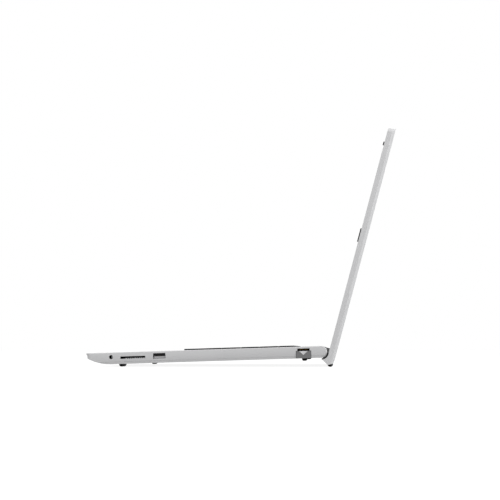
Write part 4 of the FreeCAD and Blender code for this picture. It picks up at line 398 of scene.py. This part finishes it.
# %% The legends, row by row from the front
LEGENDS = {
    "control_keys": ([1.25, 1, 1, 1.25, 5.5, 1, 1, 1, 1, 1],
                     ["ctrl", "fn", "menu", "alt", "", "alt", "ctrl", "<", "^v", ">"]),
    "lower_letter_keys": ([2.25] + [1] * 10 + [2.75], ["shift", *"ZXCVBNM,./", "shift"]),
    "home_letter_keys": ([1.75] + [1] * 11 + [2.25], ["caps", *"ASDFGHJKL;'", "enter"]),
    "upper_letter_keys": ([1.5] + [1] * 12 + [1.5], ["tab", *"QWERTYUIOP[]", "\\"]),
    "number_keys": ([1] * 13 + [2], [*"`1234567890-=", "backspace"]),
    "function_keys": ([1] * 15, ["esc", *[f"F{n}" for n in range(1, 13)], "prt", "del"]),
}
PAD_LEGENDS = {
    "control_keys": ([2, 1], ["0", "."]),
    "lower_letter_keys": ([1] * 3, ["1", "2", "3"]),
    "home_letter_keys": ([1] * 4, ["4", "5", "6", "="]),
    "upper_letter_keys": ([1] * 4, ["7", "8", "9", "+"]),
    "number_keys": ([1] * 4, ["num", "/", "*", "-"]),
    "function_keys": ([1] * 3, ["home", "end", "ins"]),
}
print("units in each row", [sum(widths) for widths, words in LEGENDS.values()])

# %% [markdown]
# A text object is a curve, so it is written in Blender's own plain font, given a hair of thickness, and
# made a mesh before it is placed. Single signs are printed larger than words, as on most keyboards.

# %% One printed legend
SIGN_SIZE = 5.0
WORD_SIZE = 3.1
PRINT_DEPTH = 0.02
CURVE_STEPS = 3
# White ink on the caps is slightly grey and dull.
grained("white_legend_print", "#c9c9c9", "#d6d6d6", 0.5, 0.002, 0.5)


def letter(words, x, y):
    """One legend as a thin mesh, centred on a place of the key field, in millimetres."""
    bpy.ops.object.text_add(location=(x * MM, y * MM, KEY_TOP * MM))
    text = bpy.context.object
    text.data.body = words
    text.data.size = (SIGN_SIZE if len(words) == 1 else WORD_SIZE) * MM
    text.data.align_x = "CENTER"
    text.data.align_y = "CENTER"
    text.data.extrude = PRINT_DEPTH * MM
    text.data.resolution_u = CURVE_STEPS
    bpy.ops.object.convert(target="MESH")
    return bpy.context.object


print("signs", SIGN_SIZE, "mm and words", WORD_SIZE, "mm high")

# %% [markdown]
# All letters of one row become one piece, because a row of caps moves as one. The two half-height arrow
# keys share one place in the front row, so their signs are set apart by half a pitch.


# %% The rows of legends
def row_middle(index):
    """The middle of a row of caps, counted from the front."""
    pitch = FUNCTION_PITCH if index == FUNCTION_ROW else KEY_PITCH_Y
    return KEYS_FRONT + index * KEY_PITCH_Y + pitch / 2


def row_letters(x, y, pitch, widths, words):
    """The legends of one block of a row, from the left edge of its first cap."""
    made = []
    for width, word in zip(widths, words):
        middle = x + width * pitch / 2
        x += width * pitch
        if word == "^v":
            made.append(letter("^", middle, y + KEY_PITCH_Y / 4))
            made.append(letter("v", middle, y - KEY_PITCH_Y / 4))
        elif word:
            made.append(letter(word, middle, y))
    return made


for index, body in enumerate(LEGENDS):
    y = row_middle(index)
    letters = row_letters(KEYS_LEFT, y, KEY_PITCH_X, *LEGENDS[body])
    letters += row_letters(PAD_LEFT, y, PAD_PITCH, *PAD_LEGENDS[body])
    settle(join(letters), body + "_legends", base_frame, body, "white_legend_print")

# %% [markdown]
# The tall Enter key of the number pad moves by itself, so its word is a piece of its own. It stands in
# the last column, over the two front rows.

# %% The Enter key's word
last_column = PAD_LEFT + (PAD_COLUMNS - 0.5) * PAD_PITCH
word = letter("enter", last_column, KEYS_FRONT + KEY_PITCH_Y)
settle(word, "numpad_enter_legend", base_frame, "numpad_enter_key", "white_legend_print")

# %% [markdown]
# ## Shaping helpers
#
# Three steps come back in most of the small pieces: a block of a given size, the choice of some of its
# faces, and soft edges. Faces are chosen in object mode, by their place or by the way that they look, and
# the operators of edit mode then act on them.

# %% Block, choice of faces and soft edges
FACING = 0.9  # a face looks along a way if its normal has at least this share of it


def block(length, width, height):
    """A block along X, Y and Z round the origin, in millimetres."""
    bpy.ops.mesh.primitive_cube_add(size=1)
    made = bpy.context.object
    made.scale = (length * MM, width * MM, height * MM)
    bpy.ops.object.transform_apply(location=False, rotation=False, scale=True)
    return made


def pick_faces(piece, wanted):
    """Goes to edit mode with only the wanted faces of the active piece selected."""
    bpy.ops.object.mode_set(mode="EDIT")
    bpy.ops.mesh.select_all(action="DESELECT")
    bpy.ops.object.mode_set(mode="OBJECT")
    for face in piece.data.polygons:
        face.select = wanted(face)
    bpy.ops.object.mode_set(mode="EDIT")
    bpy.ops.mesh.select_mode(type="FACE")


def soften(piece, width, segments):
    """Bevels the edges of the active piece, by a width in millimetres."""
    edges = piece.modifiers.new("soft edges", "BEVEL")
    edges.width = width * MM
    edges.segments = segments
    bpy.ops.object.modifier_apply(modifier="soft edges")


print("a face may lean by", round(math.degrees(math.acos(FACING)), 1), "degrees and still be chosen")

# %% [markdown]
# ## The sign on the power button
#
# The usual sign is a ring with a gap at the top and a short bar in the gap. It isn't in the plain font,
# so it is modelled. A flat ring is a circle of vertices, extruded inwards by a smaller scale; the faces
# at the top are deleted for the gap.

# %% The ring with its gap
RING_SIDES = 24
RING_OUTER = 2.4
RING_INNER_SHARE = 0.82
GAP_SHARE = 0.85
bpy.ops.mesh.primitive_circle_add(vertices=RING_SIDES, radius=RING_OUTER * MM)
ring = bpy.context.object
bpy.ops.object.mode_set(mode="EDIT")
bpy.ops.mesh.select_all(action="SELECT")
bpy.ops.mesh.extrude_edges_move()
bpy.ops.transform.resize(value=(RING_INNER_SHARE, RING_INNER_SHARE, 1))
pick_faces(ring, lambda face: face.center.y > GAP_SHARE * RING_OUTER * MM)
bpy.ops.mesh.delete(type="FACE")
bpy.ops.object.mode_set(mode="OBJECT")
print("ring with", len(ring.data.polygons), "faces of", RING_SIDES)

# %% [markdown]
# The bar is a plane with its corners rounded. Ring and bar become one flat mesh, which gets a hair of
# thickness, as the letters have.

# %% The bar and the whole sign
BAR_MIDDLE = 1.9
BAR_WIDTH = 0.45
BAR_LENGTH = 2.2
BAR_ROUND = 0.12
bpy.ops.mesh.primitive_plane_add(size=1 * MM, location=(0, BAR_MIDDLE * MM, 0))
bar = bpy.context.object
bpy.ops.object.mode_set(mode="EDIT")
bpy.ops.transform.resize(value=(BAR_WIDTH, BAR_LENGTH, 1))
bpy.ops.mesh.bevel(offset=BAR_ROUND * MM, segments=2, affect="VERTICES")
bpy.ops.object.mode_set(mode="OBJECT")
fix_place(bar)
sign = join([ring, bar])
ink = sign.modifiers.new("ink", "SOLIDIFY")
ink.thickness = PRINT_DEPTH * MM
ink.offset = 1.0
bpy.ops.object.modifier_apply(modifier="ink")
sign.location = (last_column * MM, row_middle(FUNCTION_ROW) * MM, KEY_TOP * MM)
settle(sign, "power_sign", base_frame, "power_button", "white_legend_print")

# %% [markdown]
# ## Contacts in the flat sockets
#
# A flat socket's tongue carries strips of gold plate. Each strip is a slim block whose outer end is bent
# down and softened: the end face is extruded out and down, and all edges get a small bevel. A modifier
# could repeat a strip at even steps, but copies can also be turned round for the other side of the case,
# so one strip is modelled and copied, each copy with its own mesh.

# %% Contact strips
STRIP_BEND = 0.4
STRIP_DROP_SHARE = 0.4
STRIP_SOFT_SHARE = 0.2


def strip(length, width, height):
    """A slim contact along X, with its outer end bent down."""
    contact = block(length, width, height)
    pick_faces(contact, lambda face: face.normal.x > FACING)
    bend = (STRIP_BEND * MM, 0, -height * STRIP_DROP_SHARE * MM)
    bpy.ops.mesh.extrude_region_move(TRANSFORM_OT_translate={"value": bend})
    bpy.ops.object.mode_set(mode="OBJECT")
    soften(contact, height * STRIP_SOFT_SHARE, 1)
    return contact


def copies(pattern, places):
    """Copies of a piece, each with its own mesh, at places in millimetres; the pattern is removed."""
    made = []
    for place in places:
        twin = pattern.copy()
        twin.data = pattern.data.copy()
        twin.location = [value * MM for value in place]
        bpy.context.scene.collection.objects.link(twin)
        made.append(twin)
    bpy.data.objects.remove(pattern)
    return made


print("a strip's end is bent out by", STRIP_BEND, "mm")

# %% [markdown]
# Both flat sockets get four strips. The one in the left wall looks the other way, so its strips are
# turned by half a turn.

# %% Contacts of the flat sockets
# The side of the wall, and the middle of the mouth on that wall as Y and Z.
USB_MOUTHS = {"right_usb": (1, -162.3, 1.1), "left_usb": (-1, -76.0, -0.6)}
USB_STRIP = (7.0, 1.1, 0.12)
USB_STEPS = (-3.6, -1.2, 1.2, 3.6)
USB_STRIP_BACK = 6.2
USB_STRIP_RISE = -0.41
for name, (side, y, z) in USB_MOUTHS.items():
    x = (INSIDE_WALL - USB_STRIP_BACK) * side
    contacts = copies(strip(*USB_STRIP), [(x, y + step, z + USB_STRIP_RISE) for step in USB_STEPS])
    for contact in contacts:
        contact.rotation_euler.z = 0 if side > 0 else math.pi
    settle(join(contacts), name + "_contacts", base_frame, "base", "gold_plating")

# %% [markdown]
# Behind the mouth of each flat socket, a black moulded block stands above the tongue, so the upper half
# of the opening looks dark. A dark patch would look flat, so it is a block with softened edges, and its
# front is inset and pushed in a little.

# %% Socket blocks
BLOCK_SIZE = (8.0, 12.2, 2.6)
BLOCK_BACK = 0.8
BLOCK_RISE = 1.3
BLOCK_RIM = 0.5
BLOCK_DISH = 0.4
BLOCK_SOFT = 0.1


def socket_block(side, y, z):
    """The block of one flat socket, by the side of its wall and the middle of its mouth."""
    made = block(*BLOCK_SIZE)
    pick_faces(made, lambda face: face.normal.x * side > FACING)
    bpy.ops.mesh.inset(thickness=BLOCK_RIM * MM)
    bpy.ops.transform.translate(value=(-BLOCK_DISH * side * MM, 0, 0))
    bpy.ops.object.mode_set(mode="OBJECT")
    soften(made, BLOCK_SOFT, 2)
    x = (INSIDE_WALL - BLOCK_SIZE[0] / 2 - BLOCK_BACK) * side
    made.location = (x * MM, y * MM, (z + BLOCK_RISE) * MM)
    return made


for name, mouth in USB_MOUTHS.items():
    settle(socket_block(*mouth), name + "_block", base_frame, "base", "black_nylon_and_painted_shade")

# %% [markdown]
# ## The card reader's teeth
#
# The card reader's lower lip carries a row of short plated teeth, which show as light dots in its dark
# slot. They are the same strips, short and stout, so nothing new has to be modelled.

# %% Card reader teeth
TOOTH = (0.8, 1.2, 0.6)
TOOTH_PITCH = 2.25
TEETH = 9
FIRST_TOOTH = -195.8
TOOTH_OUT = 0.2
TOOTH_Z = -0.4
tooth_steps = [TOOTH_PITCH * n for n in range(TEETH)]
tooth_x = INSIDE_WALL + TOOTH_OUT
teeth = copies(strip(*TOOTH), [(tooth_x, FIRST_TOOTH + step, TOOTH_Z) for step in tooth_steps])
settle(join(teeth), "card_reader_teeth", base_frame, "base", "plated_steel_painted_shade")

# %% [markdown]
# ## The network jack's springs
#
# Eight gold-plated springs run side by side under the roof of the network jack. A real spring is bent
# back deep in the jack, but only its straight part shows, so long, narrow strips of the same kind will
# do, set out from the middle of the jack.

# %% Network jack springs
JAW_Y = -17.75
SPRING = (11.0, 0.44, 0.16)
SPRING_PITCH = 1.02
SPRINGS = 8
SPRING_BACK = 9.2
SPRING_Z = 3.04
spring_steps = [SPRING_PITCH * (n - (SPRINGS - 1) / 2) for n in range(SPRINGS)]
spring_x = INSIDE_WALL - SPRING_BACK
springs = copies(strip(*SPRING), [(spring_x, JAW_Y + step, SPRING_Z) for step in spring_steps])
settle(join(springs), "network_contacts", base_frame, "base", "gold_plating")

# %% [markdown]
# ## Flat plates across the width
#
# Three more pieces are plates of one outline: the painted highlight on the jaw, a contact and the painted
# shade lip of the tail. They could be cut from blocks, but an outline is easier to set corner by corner. One
# function makes them all: a circle with as many vertices as the plate has corners is the start, its corners
# are moved to their places, it is extruded across the width, and its edges are bevelled.

# %% Flat plates
PLATE_SOFT = 0.08


def flat_plate(corners, face, thick):
    """A plate across X from its front face inwards, by its corners as (y, z)."""
    bpy.ops.mesh.primitive_circle_add(vertices=len(corners), radius=1, fill_type="NGON")
    plate = bpy.context.object
    for vertex, (y, z) in zip(plate.data.vertices, corners):
        vertex.co = (face * MM, y * MM, z * MM)
    bpy.ops.object.mode_set(mode="EDIT")
    bpy.ops.mesh.select_all(action="SELECT")
    bpy.ops.mesh.extrude_region_move(TRANSFORM_OT_translate={"value": (-thick * MM, 0, 0)})
    bpy.ops.mesh.select_all(action="SELECT")
    bpy.ops.mesh.normals_make_consistent(inside=False)
    bpy.ops.object.mode_set(mode="OBJECT")
    soften(plate, PLATE_SOFT, 2)
    return plate


print("plates get edges of", PLATE_SOFT, "mm")

# %% [markdown]
# The drop jaw has a sunk V that steers a plug's catch. A pale three-sided plate lies in the sunk place and
# swings with the jaw; its pale colour is a painted highlight on the floor of the V.

# %% The painted highlight on the jaw
GUIDE_HALF = 4.35
GUIDE_TOP = 1.35
GUIDE_LOW = -2.6
GUIDE_SINK = 0.45
GUIDE_THICK = 0.3
# Pale nylon colour with a slight gloss, as a painted highlight on the floor of the V.
grained("painted_highlight_nylon", "#c8c8c9", "#d8d8d9", 0.5, 0.004, 0.4)
highlight_corners = [(JAW_Y - GUIDE_HALF, GUIDE_TOP), (JAW_Y + GUIDE_HALF, GUIDE_TOP), (JAW_Y, GUIDE_LOW)]
highlight_plate = flat_plate(highlight_corners, HALF_WIDTH - GUIDE_SINK, GUIDE_THICK)
settle(highlight_plate, "jaw_painted_highlight", base_frame, "network_jaw", "painted_highlight_nylon")

# %% [markdown]
# The round jack has a sprung contact that comes out of its rear wall to a point, so it is a three-sided
# plate too, but a deep one.

# %% The round jack's contact
AUDIO_Y = -211.0
AUDIO_Z = 1.3
CONTACT_ROOT = AUDIO_Y + 1.45
CONTACT_TIP = AUDIO_Y + 0.2
CONTACT_HALF = 0.95
CONTACT_SINK = 0.3
CONTACT_THICK = 2.0
contact_corners = [(CONTACT_ROOT, AUDIO_Z - CONTACT_HALF), (CONTACT_ROOT, AUDIO_Z + CONTACT_HALF),
                   (CONTACT_TIP, AUDIO_Z)]
contact = flat_plate(contact_corners, INSIDE_WALL - CONTACT_SINK, CONTACT_THICK)
settle(contact, "audio_contact", base_frame, "base", "rolled_spring_steel")

# %% [markdown]
# ## The painted shade lip of the tail
#
# The strip in the hollow of the lid's tail is black as painted shade for the gap between lid and base, and a
# lip of the same black follows the round rear edge of the base, so that this painted shade reaches further.
# From the side it is a black crescent. A section could be spun round the hinge axis, but the lower end is cut
# flat, so that it slides along the floor of the base when the lid is opened fully, and an outline can hold
# that cut. It is two arcs round the axis, drawn in the lid frame from the angle of the lower end to that of
# the upper end, and the plate runs from side to side.

# %% The painted shade lip
LIP_INNER = 6.05
LIP_OUTER = 7.6
LIP_FROM = math.radians(17.0)
LIP_TO = math.radians(97.0)
LIP_STEPS = 20
LIP_FLAT = math.radians(45.0)
LIP_FLAT_AWAY = 5.98
LIP_PROUD = 0.1


def on_arc(radius, turn):
    """A point round the hinge axis as (y, z)."""
    return (radius * math.cos(turn), radius * math.sin(turn))


turns = [LIP_FROM + (LIP_TO - LIP_FROM) * step / LIP_STEPS for step in range(LIP_STEPS + 1)]
inner = [max(LIP_INNER, LIP_FLAT_AWAY / math.cos(min(turn - LIP_FLAT, 0.0))) for turn in turns]
shade_lip_corners = [on_arc(radius, turn) for radius, turn in zip(inner, turns)]
shade_lip_corners += [on_arc(LIP_OUTER, turn) for turn in reversed(turns)]
shade_lip_end = HALF_WIDTH + LIP_PROUD
shade_lip = flat_plate(shade_lip_corners, shade_lip_end, shade_lip_end * 2)
# The lip's black is painted shade for the gap at the tail.
settle(shade_lip, "cradle_shade_lip", lid_frame, "lid", "black_rubber")

# %% [markdown]
# ## The camera's lens
#
# Behind the small hole in the bezel sits a glass lens. Coated glass over a dark barrel is almost black,
# with a small sharp highlight, so no light has to pass through it.

# %% The lens's glass
LENS_HAZE = 0.8
tree = empty_finish("lens_glass")
place = add(tree, "TexCoord").outputs["Object"]
haze = add(tree, "TexNoise", Vector=place, Scale=1 / (LENS_HAZE * MM), Detail=1.0)
gloss = add(tree, "MapRange", Value=haze.outputs["Fac"], To_Min=0.03, To_Max=0.07)
surface = add(tree, "BsdfPrincipled", Base_Color=tone("#06070c"), Roughness=gloss.outputs["Result"], IOR=1.52,
              Coat_Weight=0.6)
add(tree, "OutputMaterial", Surface=surface.outputs["BSDF"])
print("lens finish with", len(tree.nodes), "nodes")

# %% [markdown]
# The lens is the cap of a sphere. A whole sphere would reach into the camera behind it, so everything
# above a plane is bisected away and the cut is filled, which keeps the piece closed. With the lid shut
# the display looks down, and so does the cap.

# %% The lens
LENS_RADIUS = 1.6
LENS_CUT = 0.9
LENS_Y = -229.8
LENS_Z = 8.2
bpy.ops.mesh.primitive_uv_sphere_add(segments=24, ring_count=16, radius=LENS_RADIUS * MM)
lens = bpy.context.object
bpy.ops.object.mode_set(mode="EDIT")
bpy.ops.mesh.select_all(action="SELECT")
bpy.ops.mesh.bisect(plane_co=(0, 0, -LENS_CUT * MM), plane_no=(0, 0, 1), use_fill=True, clear_outer=True)
bpy.ops.object.mode_set(mode="OBJECT")
lens.location = (0, LENS_Y * MM, (LENS_Z + LENS_CUT) * MM)
settle(lens, "camera_lens", lid_frame, "lid", "lens_glass")

# %% [markdown]
# ## Painted shade for the drives in the case screws
#
# Each screw head under the base has a cross for the driver. A sunk cross would have to be cut into the solid,
# which stays as it is, so a cross that stands a hair proud of the flat head is coloured near black as painted
# shade, and reads as a sunk one. It starts as a block whose four side faces are extruded outwards one after
# the other, and its edges are bevelled.

# %% The screw drives
SCREWS = [(147.0, -213.6), (100.0, -213.6), (168.0, -147.1), (52.0, -10.0), (155.0, -10.0)]
CROSS_WIDTH = 0.7
CROSS_HEIGHT = 0.06
CROSS_ARM = 1.0
CROSS_SOFT = 0.02
SAME_PLANE = 0.001
cross = block(CROSS_WIDTH, CROSS_WIDTH, CROSS_HEIGHT)
for way in (Vector((1, 0, 0)), Vector((-1, 0, 0)), Vector((0, 1, 0)), Vector((0, -1, 0))):
    pick_faces(cross, lambda face: face.normal.dot(way) > FACING
               and abs(face.center.dot(way) - CROSS_WIDTH * MM / 2) < SAME_PLANE * MM)
    bpy.ops.mesh.extrude_region_move(TRANSFORM_OT_translate={"value": way * CROSS_ARM * MM})
    bpy.ops.object.mode_set(mode="OBJECT")
soften(cross, CROSS_SOFT, 1)
shade_crosses = copies(cross, [(x * side, y, UNDERSIDE) for x, y in SCREWS for side in (-1, 1)])
# The near-black nylon here is painted shade for the recess of a sunk drive.
settle(join(shade_crosses), "case_screw_drive_shade", base_frame, "base", "black_nylon_and_painted_shade")

# %% [markdown]
# ## The white background
#
# The photo is a studio shot on white. A background can be made white with more light, but that would
# bleach the silver too. Instead, the floor and the world look white to some rays only: those of the
# camera, and those that mirrors and glass send on. One function tells these rays from the light that
# falls on things.

# %% The rays that see the background
BACKGROUND_RAYS = ("Is Camera Ray", "Is Transmission Ray", "Is Glossy Ray")


def background_rays(tree):
    """One for the rays of camera, glass and mirrors, and zero for the light that falls on things."""
    rays = add(tree, "LightPath").outputs
    seen = rays[BACKGROUND_RAYS[0]]
    for name in BACKGROUND_RAYS[1:]:
        seen = add(tree, "Math", {"operation": "MAXIMUM"}, i0=seen, i1=rays[name]).outputs["Value"]
    return seen


print("white to", len(BACKGROUND_RAYS), "kinds of rays")

# %% [markdown]
# The floor is a large plane of grey paper. To those rays it also has a glow of its own, which lifts it to
# white and still lets the laptop's shadow fall on it. It lies a hair below the feet.

# %% The floor
PAPER_GREY = 0.32
PAPER_GLOW = 0.88
FLOOR_SIZE = 60
FLOOR_DROP = 0.0002
# Matt paper: an even white with no sheen, on which only the shadow shows.
tree = empty_finish("white_studio_floor")
paper = add(tree, "BsdfDiffuse", Color=(PAPER_GREY, PAPER_GREY, PAPER_GREY, 1)).outputs["BSDF"]
glow = add(tree, "Emission", Color=(1, 1, 1, 1), Strength=PAPER_GLOW).outputs["Emission"]
lit = add(tree, "AddShader", i0=paper, i1=glow).outputs["Shader"]
shown = add(tree, "MixShader", Fac=background_rays(tree), i1=paper, i2=lit)
add(tree, "OutputMaterial", Surface=shown.outputs["Shader"])
bpy.ops.mesh.primitive_plane_add(size=FLOOR_SIZE, location=(0, 0, -FLOOR_DROP))
floor = bpy.context.object
floor.name = "studio_floor"
wear(floor, "white_studio_floor")
print(floor.name, FLOOR_SIZE, "m wide")

# %% [markdown]
# The world is white to the same rays, but weaker as a light, so that the lamps can shape the sides.

# %% The world
WORLD_LIGHT = 0.45
scene = bpy.context.scene
scene.world = scene.world or bpy.data.worlds.new("studio")
scene.world.use_nodes = True
tree = scene.world.node_tree
tree.nodes.clear()
strength = add(tree, "MapRange", Value=background_rays(tree), To_Min=WORLD_LIGHT, To_Max=1.0)
sky = add(tree, "Background", Color=(1, 1, 1, 1), Strength=strength.outputs["Result"])
add(tree, "OutputWorld", Surface=sky.outputs["Background"])
print("world light", WORLD_LIGHT)

# %% [markdown]
# ## Lamps
#
# The world alone would light every side alike, so three large soft lamps shape the sides: one from above,
# one beside the camera and one from behind, which lights the lid's back and the edges. Places and sizes
# are in metres. The larger a lamp is, the softer are the shadows.


# %% The lamps
def lamp(name, place, aim, size, power):
    """A large soft lamp that faces a point."""
    bpy.ops.object.light_add(type="AREA", location=place)
    light = bpy.context.object
    light.name = name
    light.data.shape = "DISK"
    light.data.size = size
    light.data.energy = power
    light.rotation_euler = (Vector(aim) - Vector(place)).to_track_quat("-Z", "Y").to_euler()
    print(name, power, "W")


lamp("top_lamp", place=(1.1, -0.2, 2.0), aim=(0, 0, 0.05), size=1.4, power=15.0)
lamp("side_lamp", place=(2.2, -0.9, 1.5), aim=(0.18, 0, 0.08), size=1.2, power=19.0)
lamp("back_lamp", place=(0.6, 2.1, 0.3), aim=(0.1, 0.1, 0.1), size=1.2, power=50.0)

# %% [markdown]
# ## Camera
#
# The camera looks straight at the right side, from about 1.7 metres and just above the table. Its place
# and focal length are set so that the outline falls on the photo's. It is turned towards the middle of
# the frame, with no lens shift, so the other views stay centred.

# %% The camera
CAMERA_PLACE = Vector((1.84, 0.0944, 0.0170))
CAMERA_AIM = Vector((0.1805, 0.0094, 0.1169))
SENSOR_WIDTH = 36.0
FOCAL_LENGTH = 119.5
NEAR_LIMIT = 0.01
bpy.ops.object.camera_add(location=CAMERA_PLACE)
camera = bpy.context.object
camera.name = "photo_camera"
camera.data.sensor_width = SENSOR_WIDTH
camera.data.lens = FOCAL_LENGTH
camera.data.clip_start = NEAR_LIMIT
camera.rotation_euler = (CAMERA_AIM - CAMERA_PLACE).to_track_quat("-Z", "Y").to_euler()
scene.camera = camera
scene.view_settings.view_transform = "Standard"
print("camera", round((CAMERA_AIM - CAMERA_PLACE).length, 2), "m from its aim")
